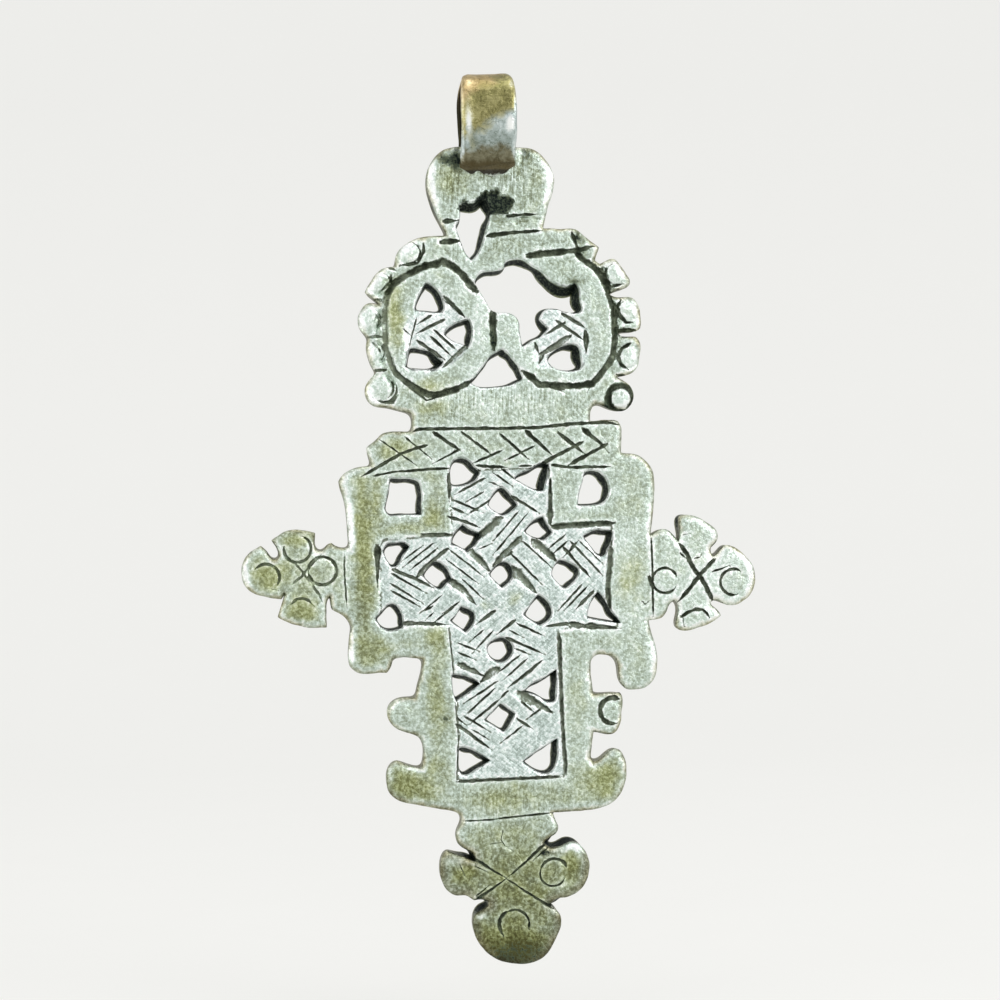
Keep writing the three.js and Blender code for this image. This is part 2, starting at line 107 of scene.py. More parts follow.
# Engraved lines as (width at the start, width at the end, x, z, x, z, and so on).
LINE_CUTS = [
    # The neck.
    (0.34, 0.2, 1.5, -10.55, 4.6, -10.45), (0.4, 0.24, -0.5, -12.5, 1.1, -12.3, 5, -12.1),
    (0.5, 0.35, -5.2, -13, -3, -12.9), (0.55, 0.2, -4.7, -10.95, -3.3, -10.85),
    (0.6, 0.35, 3.4, -14.6, 5.4, -14.4, 8.3, -14.2, 10.2, -13.8), (0.4, 0.15, 8, -12.4, 8.7, -14.5),
    # The roundels.
    (0.6, 0.5, -1.7, -18, -2.5, -17.2, -3.1, -16.3, -3.9, -15.5, -5.1, -14.9, -5.7, -15.2, -6.7, -15.3,
     -8.1, -15.9, -9.3, -16.5, -10.1, -17.2, -10.8, -18.5, -11, -20.3, -11, -23.3, -10.6, -24.7,
     -10.1, -25.9, -9, -26.8, -7.9, -27.6, -6.9, -28.1, -5.7, -28.1, -4.3, -27.7, -3.3, -27.3, -2.5, -26.8),
    (0.15, 0.2, -9.9, -26.4, -8.6, -27.5, -7.1, -28.7, -5.7, -28.3),
    (0.6, 0.5, -0.2, -20, -0.3, -21.7, -0.2, -23.9),
    (0.56, 0.54, 8.3, -14.4, 9.1, -15.2, 10.1, -15.9, 10.7, -16.7, 11.3, -17.9, 11.5, -18.9, 11.9, -20,
     11.9, -23.1, 11.7, -24.7, 11.3, -25.5, 10.3, -26.7, 9.5, -27.5, 8.3, -27.7, 6.5, -27.7, 5, -27.5,
     4.2, -27.5, 3.4, -26.7, 2.5, -26), (0.3, 0.1, 5.3, -27.7, 6.7, -28.3),
    (0.3, 0.1, 9.5, -27.5, 9, -28.3), (0.3, 0.2, -6.3, -20.2, -7.8, -21.1),
    (0.35, 0.25, -5.1, -20.7, -7.9, -22), (0.15, 0.15, -7.8, -20.4, -8.6, -23.2),
    (0.2, 0.15, -9.1, -21.5, -8.3, -22.3), (0.25, 0.25, -6.1, -21.7, -3.8, -23.9),
    (0.25, 0.25, -6.5, -22.3, -4.5, -24.3), (0.45, 0.3, -5, -18.5, -3, -20.5),
    (0.4, 0.35, -2.7, -23.2, -5.4, -25.5), (0.35, 0.3, -7.8, -22.7, -5.1, -24.7),
    (0.35, 0.25, 6.9, -21.4, 4.9, -22.5), (0.5, 0.4, 7.5, -22.7, 4.6, -24.4, 4.3, -25.3),
    (0.4, 0.3, 3.9, -23.3, 4.3, -24.4), (0.35, 0.3, 6.7, -20.4, 9.1, -22),
    (0.3, 0.25, 6.1, -21.1, 8.9, -23.2), (0.5, 0.3, 9, -22.3, 9, -24.5),
    # Round and between the beads.
    (0.3, 0.3, -6.9, -13.1, -6.9, -13.9, -7.5, -15, -9.3, -15.2),
    (0.3, 0.3, -10.2, -16.1, -10.3, -16.9, -11.4, -17.8),
    (0.25, 0.25, -11.9, -19.9, -11.5, -20.5, -11.8, -21.5),
    (0.25, 0.25, -12.3, -22.7, -11.7, -23.3, -11.4, -24.1),
    (0.3, 0.3, -11.4, -28.7, -10.5, -28.8, -9.9, -28),
    (0.35, 0.3, 10.9, -16, 11.1, -17.1, 11.7, -17.9, 13, -17.6),
    (0.3, 0.3, 12.7, -19.2, 12.3, -19.9, 12.5, -20.7, 13.1, -21.5, 13.8, -21.5),
    (0.3, 0.3, 13.5, -23.6, 12.6, -24.1, 12.2, -24.9, 12.5, -25.7, 13.2, -26.2),
    (0.5, 0.35, 12.2, -21.9, 12.1, -22.7), (0.4, 0.5, 11.9, -18.5, 13.6, -18.45),
    (0.45, 0.55, 12.2, -22.4, 14, -22.3), (0.3, 0.45, 12, -26.7, 13.4, -27.1),
    (0.3, 0.42, -10.9, -18.6, -12.5, -18.6), (0.3, 0.38, -11.4, -22.2, -12.9, -22.25),
    (0.3, 0.38, -11, -25.5, -12.5, -25.6), (0.3, 0.42, -9.7, -15.7, -10.7, -15.2),
    # The shoulder's band.
    (0.3, 0.3, -8.5, -31.7, -7.9, -31.5, -3, -31.6, 0, -31.7, 4.3, -31.7, 7, -31.5, 10.5, -31.4,
     12.1, -31.7), (0.15, 0.15, -11.9, -32.4, -8.3, -35.1), (0.18, 0.15, -9.4, -32.2, -6.8, -34.5),
    (0.4, 0.25, -6.5, -31.9, -3.9, -33.8), (0.25, 0.25, -3.75, -31.9, -0.8, -34.3),
    (0.25, 0.25, 0.04, -32.2, 2.8, -34.8), (0.4, 0.25, 2.65, -32, 5.2, -34.5),
    (0.4, 0.25, 5.9, -32.3, 8.5, -34.5), (0.5, 0.15, 8.4, -32, 10.2, -33.6, 10.85, -34.4),
    (0.25, 0.3, -7.15, -33.1, -9.8, -33.85, -13.8, -36), (0.25, 0.15, -3.9, -33.6, -6.8, -35),
    (0.25, 0.2, 0.2, -33.9, -2.8, -35.1), (0.2, 0.2, 3.5, -33.55, 0.5, -34.9),
    (0.3, 0.35, 8.35, -33.3, 3.8, -35.5), (0.3, 0.35, 10.8, -33.6, 6.75, -35.6),
    (0.2, 0.28, -12.7, -36, -10.4, -35.65, -7.4, -35.55, -4.95, -35.5),
    (0.28, 0.28, -2.4, -35.3, -1, -35.45, 0.7, -35.6), (0.25, 0.25, 1.8, -35.5, 3.5, -35.5),
    (0.28, 0.25, 5.1, -35.5, 6.9, -35.8, 11.05, -35.85),
    # The bars round the interlace.
    (0.3, 0.25, -5.2, -36, -5.2, -38.8), (0.3, 0.4, -8, -41.95, -5.05, -42.1),
    (0.2, 0.6, 5, -36.8, 4.75, -41.3), (0.55, 0.5, 5, -41.65, 11.2, -41.5),
    (0.5, 0.45, 10.8, -43.9, 10.3, -47.9, 10.5, -50), (0.6, 0.15, -12.5, -42.9, -12.6, -47),
    (0.2, 0.6, 4, -51.5, 6, -51.4, 8, -51.65), (0.6, 0.15, 8, -51.65, 11.6, -52),
    (0.45, 0.15, -10, -50.7, -7.2, -50.8, -5.7, -51), (0.35, 0.35, 5.3, -52.5, 5.3, -60, 5.5, -66.3),
    (0.25, 0.25, -5.4, -66.6, 5.2, -66.55), (0.15, 0.2, -4.9, -70.5, -1.9, -70.5, 0, -70.3, 4.1, -70.1),
    (0.12, 0.12, -5.7, -51.3, -5.35, -56), (0.12, 0.12, -5.3, -58.8, -5.1, -62, -5.4, -66.4),
    # The hatching on the straps of the interlace.
    (0.25, 0.2, -1.6, -36.6, -4.6, -38.1), (0.2, 0.12, -1.75, -37.95, -3.55, -38.9),
    (0.2, 0.15, -1, -38.7, -3.7, -40.3), (0.25, 0.15, -4.6, -38.7, -1.85, -40),
    (0.25, 0.15, -4.95, -39.4, -3.3, -40.2), (0.3, 0.25, -5.3, -40.3, -3.8, -40.8, -2.2, -41.5),
    (0.2, 0.15, -6.9, -42.85, -10.1, -45.2), (0.2, 0.15, -6.55, -43.4, -9.4, -45.5),
    (0.15, 0.15, -8, -43.1, -10.2, -44.6), (0.3, 0.55, -5.4, -43.4, -7, -44.6, -8.7, -46.2),
    (0.35, 0.25, -11.1, -45.3, -8.9, -46.3, -7, -47.3),
    (0.25, 0.15, -11.2, -45.7, -9.6, -46.7, -7.8, -47.8), (0.25, 0.12, -11.3, -46.7, -8.15, -48.8),
    (0.25, 0.15, -11.3, -47.4, -8.5, -49.1), (0.2, 0.15, -6.3, -48.1, -8.5, -49.8),
    (0.2, 0.15, -4.6, -48.8, -6.3, -49.9), (0.15, 0.2, -5.4, -43.5, -1.96, -46.4),
    (0.15, 0.2, -5.7, -44.5, -2.6, -47), (0.15, 0.2, -4.3, -46.4, -2.1, -48.6),
    (0.8, 0.35, -5.5, -46.6, -4.2, -47.6, -2.9, -49.1), (0.7, 0.55, -3.45, -43.6, -1.45, -45.8),
    (0.8, 0.65, -0.1, -40.6, -1.3, -41.6, -2.6, -42.6), (0.15, 0.15, -1.05, -43.1, -2.7, -43.7),
    (0.2, 0.2, -0.7, -36.1, 1.2, -37.5), (0.3, 0.15, -1, -37, 0, -37.5), (0.2, 0.2, 0, -35.6, 1.7, -37),
    (0.3, 0.2, 1, -38.4, 3.8, -40.3), (0.15, 0.2, 1.7, -40, -1, -42.85), (0.15, 0.2, 2.7, -40.1, -1, -44.2),
    (0.6, 0.45, 1.9, -42.6, -1.05, -45.3), (0.35, 0.2, 0.9, -44, 0.1, -44.6),
    (0.2, 0.15, 2, -43, 4.9, -45.8), (0.2, 0.2, 0.7, -44.1, 3.7, -47.3),
    (0.95, 0.4, 0.9, -45.7, 3.2, -48.2), (0.75, 0.6, 2.95, -43, 4.1, -43.9, 5.2, -45),
    (0.2, 0.2, 6.25, -42.5, 4.4, -43.9), (0.2, 0.2, 6.5, -43.1, 4.8, -44.5),
    (0.3, 0.2, 7.5, -43.2, 5.9, -44.8), (0.2, 0.2, 6.7, -43.1, 9.9, -46.7),
    (0.15, 0.15, 7.6, -43.1, 10, -45.6), (0.3, 0.25, 6, -43.7, 8.6, -46.8),
    (0.2, 0.2, 7.75, -47.5, 5.3, -50), (0.2, 0.2, 8.2, -47.8, 5.9, -50),
    (0.35, 0.3, 8.9, -48.2, 7.1, -49.9), (0.25, 0.15, -7.2, -49.1, -8.5, -49.7),
    (0.2, 0.2, -5.1, -49.3, -7.2, -50.75), (0.2, 0.15, -7.2, -49.8, -8, -50.5),
    (0.3, 0.15, 0.96, -50.8, -1, -52.2), (0.25, 0.15, 1.1, -51.1, 4, -52.6),
    (0.2, 0.15, 0.4, -51.8, 1.8, -52.6), (0.3, 0.2, 0, -52.5, 3.8, -54.3),
    (0.2, 0.15, 0.8, -53.6, 2.4, -54.3), (0.2, 0.2, 1.3, -54.3, -1, -56), (0.2, 0.2, 2, -54.7, -0.3, -56.6),
    (0.2, 0.25, 3.5, -54.9, 0, -57.5), (0.2, 0.15, 3.1, -55.3, 1.4, -56.7), (0.3, 0.2, 0, -57.8, -1, -58.7),
    (0.85, 0.45, -1, -55.6, -2.7, -56.8), (0.2, 0.2, -1, -56.8, -4.5, -58.9),
    (0.2, 0.2, -1.3, -57.5, -4.4, -60.1), (0.3, 0.15, -1, -58.7, -4, -61),
    (0.25, 0.15, -4.7, -52.9, -2.7, -53.8), (0.25, 0.15, -4.8, -53.8, -3.1, -54.6),
    (0.6, 0.35, -4.8, -55, -2.4, -56.2), (0.2, 0.15, -1.3, -51.8, -3.4, -53.9),
    (0.2, 0.15, -2.3, -51.7, -3.7, -52.8), (0.4, 0.2, -1, -49.8, -3, -51.1),
    (0.25, 0.15, -5.2, -60.2, -4.3, -61), (0.4, 0.2, -5.3, -60.9, -1.8, -63.6),
    (0.25, 0.15, -4.5, -60.1, -1.9, -61.8), (0.2, 0.15, -3.7, -61.5, -2, -62.6),
    (0.85, 0.45, 1, -58.1, 4.3, -60.1), (0.25, 0.15, 1.25, -58.9, 2.7, -60.2),
    (0.3, 0.2, 0.8, -60.6, 2.4, -61.7), (0.2, 0.2, 3.3, -59.6, 1.7, -60.8),
    (0.2, 0.15, 1.4, -61.3, -1, -63),
    # The arms.
    (0.2, 0.3, -21.3, -43.8, -20.05, -45.1, -18.4, -47.6, -18.1, -48.3),
    (0.25, 0.2, -21, -46.4, -20.05, -45.7, -19.6, -45.1, -18, -43.55),
    (0.3, 0.25, -21.2, -48.4, -20.6, -47.9, -20.05, -47.85, -19.45, -48.1, -18.9, -48.7),
    (0.25, 0.15, -23.1, -46.8, -22.4, -47), (0.18, 0.15, -15.75, -43.6, -15.85, -45.8, -15.7, -48.9),
    (0.4, 0.35, 17.7, -43.8, 18.4, -44.85, 18.6, -45.5, 19.2, -46.6, 19.6, -47.1, 20.2, -48.1, 20.6, -49.1,
     21, -49.8), (0.38, 0.3, 21.15, -45.5, 19.8, -46.8, 19.1, -47.6, 18.2, -48.7, 17.3, -49.6),
    (0.25, 0.15, 17.7, -44.7, 18.5, -45.5), (0.2, 0.15, 20.9, -46.7, 22.7, -46.15),
    (0.3, 0.3, 17.6, -51.1, 18.2, -50.7, 19.1, -50.4, 19.8, -50.45, 20.2, -50.8, 20.45, -51.3),
    (0.2, 0.15, 17.8, -51.3, 17.9, -52.1), (0.2, 0.2, 19.1, -45.3, 19.7, -45.2, 19.9, -44.85),
    (0.2, 0.1, 18.1, -42.9, 18.8, -42.8), (0.2, 0.2, 14.85, -43.2, 14.85, -47, 14.8, -51),
    (0.4, 0.3, 14.5, -46.9, 14.75, -48.1), (0.2, 0.15, 13.8, -49.4, 14, -49.7, 14.55, -49.3),
    # The foot.
    (0.3, 0.16, -4.2, -74.1, -2.9, -75, -0.84, -76.4), (0.14, 0.3, -0.84, -76.4, 1.4, -78, 3.7, -79.6),
    (0.3, 0.14, 3.2, -73.1, 1.2, -74.8, -0.84, -76.4), (0.14, 0.32, -0.84, -76.4, -2.5, -77.5, -4.1, -78.5),
    (0.18, 0.1, 3.4, -73.5, 1.9, -74.7), (0.18, 0.1, -3.9, -78, -2.4, -76.9),
    (0.1, 0.07, -3.9, -75, -2.6, -75.7), (0.1, 0.08, -1, -71.6, -1.2, -72.5, -0.84, -73.2, 0, -73.7),
    (0.08, 0.07, -2.3, -72.9, -1.2, -72.8), (0.12, 0.1, -5.4, -74.8, -4.9, -76),
]
# Engraved arcs as (centre x, centre z, radius, start and end angle in degrees from +X towards +Z, width).
ARC_CUTS = [
    (-20.4, -42.95, 1.35, -190, 75, 0.3), (-18, -45.2, 1.4, -170, 190, 0.3),
    (-23.6, -45.7, 1.35, -35, 140, 0.27), (16.1, -47.4, 1.25, 20, 330, 0.24),
    (23, -47.8, 1.3, 55, 290, 0.28), (3.95, -76, 1.35, 20, 170, 0.3), (3.85, -76.05, 1.3, 165, 345, 0.2),
    (-0.15, -81, 1.45, -20, 130, 0.22), (-0.2, -81, 1.5, 120, 225, 0.33),
    (12.3, -29.05, 1.3, -60, 300, 0.5), (-11.3, -27.4, 1.3, -120, 30, 0.22),
    (10.45, -60.2, 1.3, 62, 285, 0.42),
]
# Wide shallow hollows that hold a film of dirt and painted shade, as (width, x, z, x, z, and so on).
HOLLOWS = [
    (0.5, -10.9, -16.8, -11.4, -18.4, -11.5, -20.6, -11.6, -22.8, -11.2, -25.2, -10.4, -26.9),
    (0.6, 10.2, -15.3, 11.2, -17, 12, -19, 12.3, -21.9, 12.1, -24.4, 11.5, -26.2),
    (0.6, -6.8, -15.3, -8.4, -15.6, -10.4, -16.8), (0.7, 8.2, -12.6, 8.8, -13.6, 9.4, -14.6),
    (0.9, -4.6, -4.6, -3.2, -5.4), (0.5, 3.3, -4.2, 3.2, -6), (0.5, -0.1, -10.9, 2.6, -11.1, 4.7, -10.9),
    (0.5, 13.6, -22.3, 12.3, -22.2), (0.45, 13.3, -18.5, 12.2, -18.4),
]

# Patches where a piercing's wall leans in further than elsewhere.
LEANING_WALLS = [
    (-1.8, -9.2, 1.8, 0.5, 0.5), (7.2, -17, 1.6, 0.9, 1.1), (8.9, -18.9, 0.7, 0.9, 0.5),
    (-4.9, -24.9, 1.1, 1.1, 0.45), (7.6, -23.2, 1.3, 0.6, 0.3), (8.4, -24.4, 0.6, 1.1, 0.3),
    (-6.2, -19.2, 0.7, 0.7, 0.3), (4.6, -37.5, 0.6, 1.8, 0.3), (9.9, -43.2, 0.9, 0.9, 0.3),
]
# Patches where the rim's wall slopes out towards the back, in the notches, and where its painted shade is
# darker.
SLOPING_NOTCHES = [
    (4.4, -73, 1.5, 0.55, 0.95), (-4.3, -74.1, 1.3, 0.6, 0.4), (-3.6, -79.1, 0.9, 0.7, 0.65),
    (4, -78.9, 0.9, 0.6, 0.5), (17.5, -41.3, 0.7, 1.3, 0.35), (21.8, -43.5, 0.8, 0.8, 0.3),
    (23, -48.7, 1, 0.6, 0.2), (-6.1, -10.6, 0.8, 2.6, 0.25),
]

# The ragged pit beside the neck's piercing.
NECK_PIT = [
    (-3.3, -9.6), (-3, -9), (-1.6, -8.95), (-1, -8.4), (-0.6, -8), (0, -8.25), (0.5, -8), (1.1, -8.35),
    (1.7, -8.6), (2.15, -9.2), (2.15, -9.8), (1.6, -10.2), (0.9, -10.1), (0.4, -10.35), (-0.4, -9.9),
    (-0.9, -9.3),
]

# The beads round the roundels, as (x, z, radius, height).
BEADS = [
    (-8.3, -13.9, 1.1, 0.24), (-11.3, -16.9, 1.1, 0.24), (-12.5, -20.4, 1.15, 0.26),
    (-12.1, -23.8, 1, 0.22), (-11.5, -27.3, 1.2, 0.26), (12.3, -16.6, 1.1, 0.26), (13.3, -20.4, 1.1, 0.24),
    (13.2, -24.9, 1.1, 0.24),
]
# The beads and the other small domes, on the lowest bead, the arms and the foot.
DOMES = BEADS + [
    (12.3, -29.05, 1.1, 0.4), (-10.6, -59.6, 1.2, 0.2), (10.4, -60.2, 0.9, 0.16),
    (-20.4, -42.95, 1.2, 0.12), (-18, -45.2, 1.25, 0.14), (-23.9, -45.6, 1.5, 0.12),
    (16.1, -47.4, 1.1, 0.1), (23.2, -47.9, 1.1, 0.1), (4, -76.1, 1.1, 0.08),
]

# The woven fields lie a little lower than the bars round them: the cross's, then the two roundels'.
WOVEN_FIELD = [
    (-5.1, -35.7), (-5.1, -42.1), (-8, -42.1), (-11.9, -42.3), (-12.35, -43), (-12.4, -50.6), (-9.9, -50.9),
    (-5.7, -51.1), (-5.35, -56), (-5.1, -62), (-5.4, -66.5), (5.4, -66.5), (5.2, -52), (8, -51.8),
    (11.4, -51.9), (10.5, -50), (10.3, -47.9), (10.9, -43.5), (11, -41.7), (4.9, -41.6), (4.95, -35.7),
]
LEFT_LATTICE = [
    (-6.5, -17.4), (-4.6, -18.7), (-2.8, -20.6), (-2.5, -23.2), (-3.9, -24.7), (-5.3, -25.7), (-8.6, -25.6),
    (-9, -23.5), (-9.2, -21.4), (-7.8, -19.5),
]
RIGHT_LATTICE = [
    (4.4, -19.6), (5.4, -19.4), (7, -20.1), (9.1, -21.5), (9.4, -24.5), (8.6, -25.7), (4.1, -25.8),
    (3.7, -24), (4.6, -22.4), (3.9, -21),
]
# Each woven field with its depth.
WOVEN_FIELDS = [(WOVEN_FIELD, 0.12), (LEFT_LATTICE, 0.22), (RIGHT_LATTICE, 0.22)]
# Below this height lies the foot, whose edges keep more of their stain and painted shade, and less painted
# highlight.
FOOT_TOP = -71.0

# Patches where the surface is stained, dirty, brushed or worn bright, or carries painted shade or painted
# highlights.
OLIVE_PATCHES = [
    (-20.5, -46, 4.5, 4, 0.4), (0, -77, 7.5, 6.5, 0.5), (-4.6, -75.7, 1.7, 1.3, 0.95),
    (5.7, -75.2, 1.2, 2, 0.8), (-1, -83, 5.5, 2.6, 1), (9.3, -67, 2.6, 2.4, 0.85),
    (-10, -66.8, 2.8, 2.4, 0.9), (-13.8, -42.5, 1, 8.5, 0.9), (12.6, -47, 1.1, 2.2, 0.65),
    (1, -48.5, 0.9, 0.9, 0.7), (-1.8, -49.3, 0.6, 1, 0.5), (-7, -40, 1.2, 1.8, 0.7),
    (-7, -52.5, 1.2, 1.6, 0.6), (-8, -65, 1.6, 1.6, 0.6), (-10, -20, 0.9, 3.8, 0.8),
    (-7, -27.3, 1.8, 0.9, 0.6), (-6.5, -29.5, 2, 0.8, 0.5), (-23, -45.5, 2.6, 2.6, 0.75),
    (-20.4, -41.9, 2.2, 1.2, 0.7), (-20.2, -49, 2.6, 1.9, 0.8), (-10.5, -33.5, 2.2, 1.4, 0.65),
    (-13.6, -53.3, 2.2, 1.8, 0.7), (-7.3, -58, 1, 4.5, 0.6), (7, -60, 0.8, 4, 0.25),
    (13.3, -38.5, 1.2, 2, 0.25), (-9.6, -36.2, 3.2, 0.8, 0.5), (-12.4, -38.5, 1, 3, 0.6),
    (-9.2, -41.2, 2.4, 0.8, 0.5), (-3.9, -12.6, 1.4, 0.8, 0.5), (0, -68.5, 6.5, 1.2, 0.5),
    (12.8, -55.6, 1.6, 2, 0.2), (4.6, -9.5, 1.2, 3, 0.2), (-4.3, -6.6, 1.4, 2, 0.45),
]
# Dark patches: dirt, and painted shade below the lowest bead and beside the strap's legs.
DIRT_AND_SHADE_PATCHES = [
    (-0.2, -84, 5.4, 2.3, 0.68), (-4.3, -80.9, 1.3, 2.6, 0.45), (4.4, -82, 1.3, 2.6, 0.4),
    (-0.5, -78, 6.5, 6, 0.25), (-12.2, -67.5, 2.4, 1.8, 0.3), (-4.3, -4.7, 1.2, 0.8, 0.85),
    (3.9, -4.6, 0.45, 0.9, 0.7), (-3.3, -6.9, 1.6, 2, 0.22), (-3.3, -4.9, 0.7, 1.1, 1.1),
    (8.6, -12.9, 0.45, 0.8, 0.9), (9, -14.2, 0.5, 0.5, 0.8), (-0.25, -22.9, 0.35, 1.5, 1.1),
    (11, -29.7, 0.4, 0.9, 0.9), (12.5, -30.4, 1.1, 0.3, 1), (3, -73.9, 0.5, 0.4, 1),
    (-3.5, -78.3, 0.5, 0.4, 1), (3.4, -79, 0.5, 0.4, 0.8), (-3.4, -74.7, 0.8, 0.3, 0.7),
    (-7.2, -76, 0.6, 1.6, 0.3), (-5.5, -77.6, 1.6, 0.5, 0.3), (7.2, -77.4, 0.9, 1.2, 0.25),
    (-0.3, -6.5, 1.6, 0.35, 0.3), (-14.3, -50, 0.8, 6, 0.25), (12.1, -22.3, 0.35, 0.5, 0.9),
    (-6.15, -60.3, 0.28, 0.28, 1.2), (0.2, -13.3, 0.7, 0.7, 0.4), (8, -17.3, 0.8, 0.5, 0.8),
    (14.6, -47.5, 0.3, 0.7, 0.7), (17.4, -46.5, 0.3, 0.5, 0.3),
]
BRUSHED_PATCHES = [
    (0, -29, 9.5, 1.8, 1), (2.6, -7, 2.6, 3, 1), (-3.6, -7.4, 1.8, 2.6, 0.8), (0, -13.2, 6, 1.4, 0.5),
    (0, -69, 10, 2.2, 0.4),
]
# Patches painted brighter: painted highlights on the beads, the lobes' crests and the lit bars, and metal worn
# bright.
HIGHLIGHT_AND_WEAR_PATCHES = [
    (-5.7, -8, 0.6, 3, 1), (5.9, -7.6, 0.6, 3, 0.9), (-15.2, -40.5, 0.5, 4.5, 1), (14.8, -45, 0.6, 5, 0.8),
    (-25.6, -45.2, 0.5, 1.5, 0.8), (12.3, -29.2, 0.85, 0.85, 1.2), (14.7, -55.5, 0.5, 2.5, 0.6),
    (-15.4, -53, 0.4, 2, 0.6), (3.4, -21.5, 0.5, 2.2, 0.5), (12.6, -16, 0.6, 0.6, 0.6),
    (13.9, -20.2, 0.5, 1, 0.6), (0.5, -29.2, 8, 1.5, 0.35), (-13.3, -20.8, 0.4, 0.9, 1),
    (-12.8, -24.3, 0.4, 1, 1), (-12.2, -28, 0.6, 0.9, 1), (-12.3, -17.4, 0.6, 0.6, 0.8),
    (-8.9, -14.5, 0.6, 0.6, 0.7), (20, -47, 5, 4.5, 0.75), (-5.9, -74.4, 1.2, 0.4, 0.6),
    (5.9, -73.6, 1, 0.6, 0.9), (-3.4, -80.1, 0.6, 0.35, 0.8), (4.3, -79.8, 0.6, 0.4, 0.8),
    (24.5, -47, 0.5, 1.6, 0.9), (12.6, -47, 1.6, 9, 0.6), (7.5, -60, 2, 7, 0.3), (-1.5, -21, 0.9, 3.4, 0.8),
    (-3.2, -17.6, 1.3, 1.1, 0.7), (-5.6, -16.3, 1.4, 0.6, 0.5), (-2.6, -25.4, 1.4, 0.9, 0.7),
    (-8.8, -21.8, 0.5, 3.4, 0.9), (-7.6, -26, 1.6, 0.6, 0.6), (10, -20.5, 0.9, 4.5, 0.5),
    (3.1, -25, 1.6, 1.2, 0.6), (7.1, -26.9, 2.5, 0.7, 0.6), (1.2, -22, 0.8, 2.2, 0.6),
    (-9.9, -21.5, 0.8, 4, 0.35), (-2, -21.8, 0.8, 4, 0.4), (-6.4, -27, 2.5, 0.7, 0.35),
    (2.6, -25.5, 1, 1, 0.5), (-6.4, -21.5, 2.2, 3.8, 0.4), (6.5, -22, 2.2, 1.8, 0.35),
    (8.5, -38.5, 3, 2.2, 0.35), (-9, -37.2, 3, 0.8, 0.35), (10.6, -52, 3, 1, 0.4),
    (-9.5, -51.5, 3, 0.8, 0.3), (12.3, -28.9, 0.7, 0.7, 0.8), (-9.5, -69.8, 1.5, 0.5, 0.3),
    (10, -69.8, 1.5, 0.5, 0.5), (4.8, -77.3, 0.9, 0.4, 0.8), (6.3, -74.3, 0.4, 0.8, 0.8),
    (9.4, -36.2, 3.5, 0.5, 0.4), (-14.9, -37, 0.5, 1, 0.6),
]
# Patches where the cuts are rubbed pale, so that their dirt and painted shade show less.
FAINT_PATCHES = [
    (-20.3, -45.6, 6, 6, 0.42), (-11.6, -21, 2.2, 8, 0.45), (11.6, -21, 2, 6, 0.16),
]

# The strap's middle line down the front leg as (y, z, thickness, half width), from its top to its end.
STRAP_LEG = [
    (0, 3.43, 1, 2.28), (-1.5, 3.08, 1, 2.5), (-2.7, 1.95, 1, 2.72), (-3.08, 0.2, 1.02, 2.78),
    (-2.93, -1.6, 1, 2.76), (-2.36, -3.2, 0.95, 2.74), (-1.8, -4.5, 0.85, 2.74), (-1.55, -5.62, 0.62, 2.7),
]
STRAP_MIDDLE = -0.04
# How far the strap has strayed to the left at its ends.
STRAP_DRIFT = -0.2
STRAP_SECTION_POINTS = 64
STRAP_STEPS = 130
STRAP_HOLLOW = 0.1
STRAP_HALF_WIDTH = 2.75
# The strap's cut end is lowest a little left of its middle, and rises to its corners.
STRAP_END_LOW = -0.8
STRAP_END_RISE = 0.4
# Patches of painted highlight on the strap's outer face, where it is also polished by wear.
STRAP_HIGHLIGHTS = [
    (-2.1, -0.9, 0.4, 1.6, 1.3), (2.05, -1.7, 0.5, 0.9, 1.4), (-1.9, 2.6, 0.35, 0.4, 0.8),
    (2.3, 2.4, 0.3, 0.6, 0.8), (0.7, -1.7, 1.3, 1, 0.45), (-0.4, -2.7, 1.5, 0.5, 0.3),
    (2.45, -4, 0.3, 1.4, 0.7), (-2.3, -3.2, 0.3, 1, 0.5),
]

SEAM_LENGTH = 5.5
SEAM_TUCK = 0.65
SEAM_DROP = 1.8
SEAM_DEPTH = 0.46
SEAM_COLUMNS = 72
SEAM_ROWS = 12

METAL_SPECULAR = 0.15

CAMERA_AZIMUTH = -4.5
CAMERA_ELEVATION = -0.5
CAMERA_LEAN = 2.0
CAMERA_DISTANCE = 270.0
AIM = (-0.15, -1.2, -38.8)
SENSOR_WIDTH = 36.0
FRAME_PIXELS = 1000
PIXELS_PER_MM = 10.06

FLOOR_DROP = 6.0
FLOOR_HALF = 900.0
SWEEP_BACK = 420.0
SWEEP_RADIUS = 160.0
SWEEP_STEPS = 12
# How much brighter the paper looks than its own lighting makes it.
PAPER_GLOW = 0.7
# The world's strength as light, and as it looks.
WORLD_LIGHT = 0.66
WORLD_SEEN = 0.78
# Each lamp's name, place, size and radiance, and the point that all of them face.
LAMPS = [
    ("key", (330, -300, 160), 260, 3.6),
    ("fill", (-380, -230, 60), 260, 1.7),
    ("top", (20, -100, 380), 240, 2.0),
]
LAMPS_AIM = (0, 0, -40)


def smoothstep(low, high, value):
    """0 up to low, 1 from high, and a smooth rise between them."""
    t = np.clip((value - low) / (high - low), 0, 1)
    return t * t * (3 - 2 * t)


def resampled(points, step):
    """A polyline's points about step apart, with its own corners kept."""
    points = np.asarray(points, float)
    out = [points[:1]]
    for a, b in zip(points[:-1], points[1:]):
        count = max(1, math.ceil(np.linalg.norm(b - a) / step))
        t = np.arange(1, count + 1)[:, None] / count
        out.append(a + (b - a) * t)
    return np.concatenate(out)


def smooth_noise(points, size, seed):
    """Soft noise from -1 to 1 at each point, with lumps of about the given size."""
    return np.array([noise.noise((p[0] / size, seed, p[1] / size)) for p in points])


def ragged(points):
    """The points, shifted a little by noise, so that what is placed by them has an uneven edge."""
    shift = np.stack([smooth_noise(points, 0.75, 71), smooth_noise(points, 0.75, 72)], axis=1)
    fine = np.stack([smooth_noise(points, 0.3, 73), smooth_noise(points, 0.3, 74)], axis=1)
    return points + shift * 0.35 + fine * 0.12


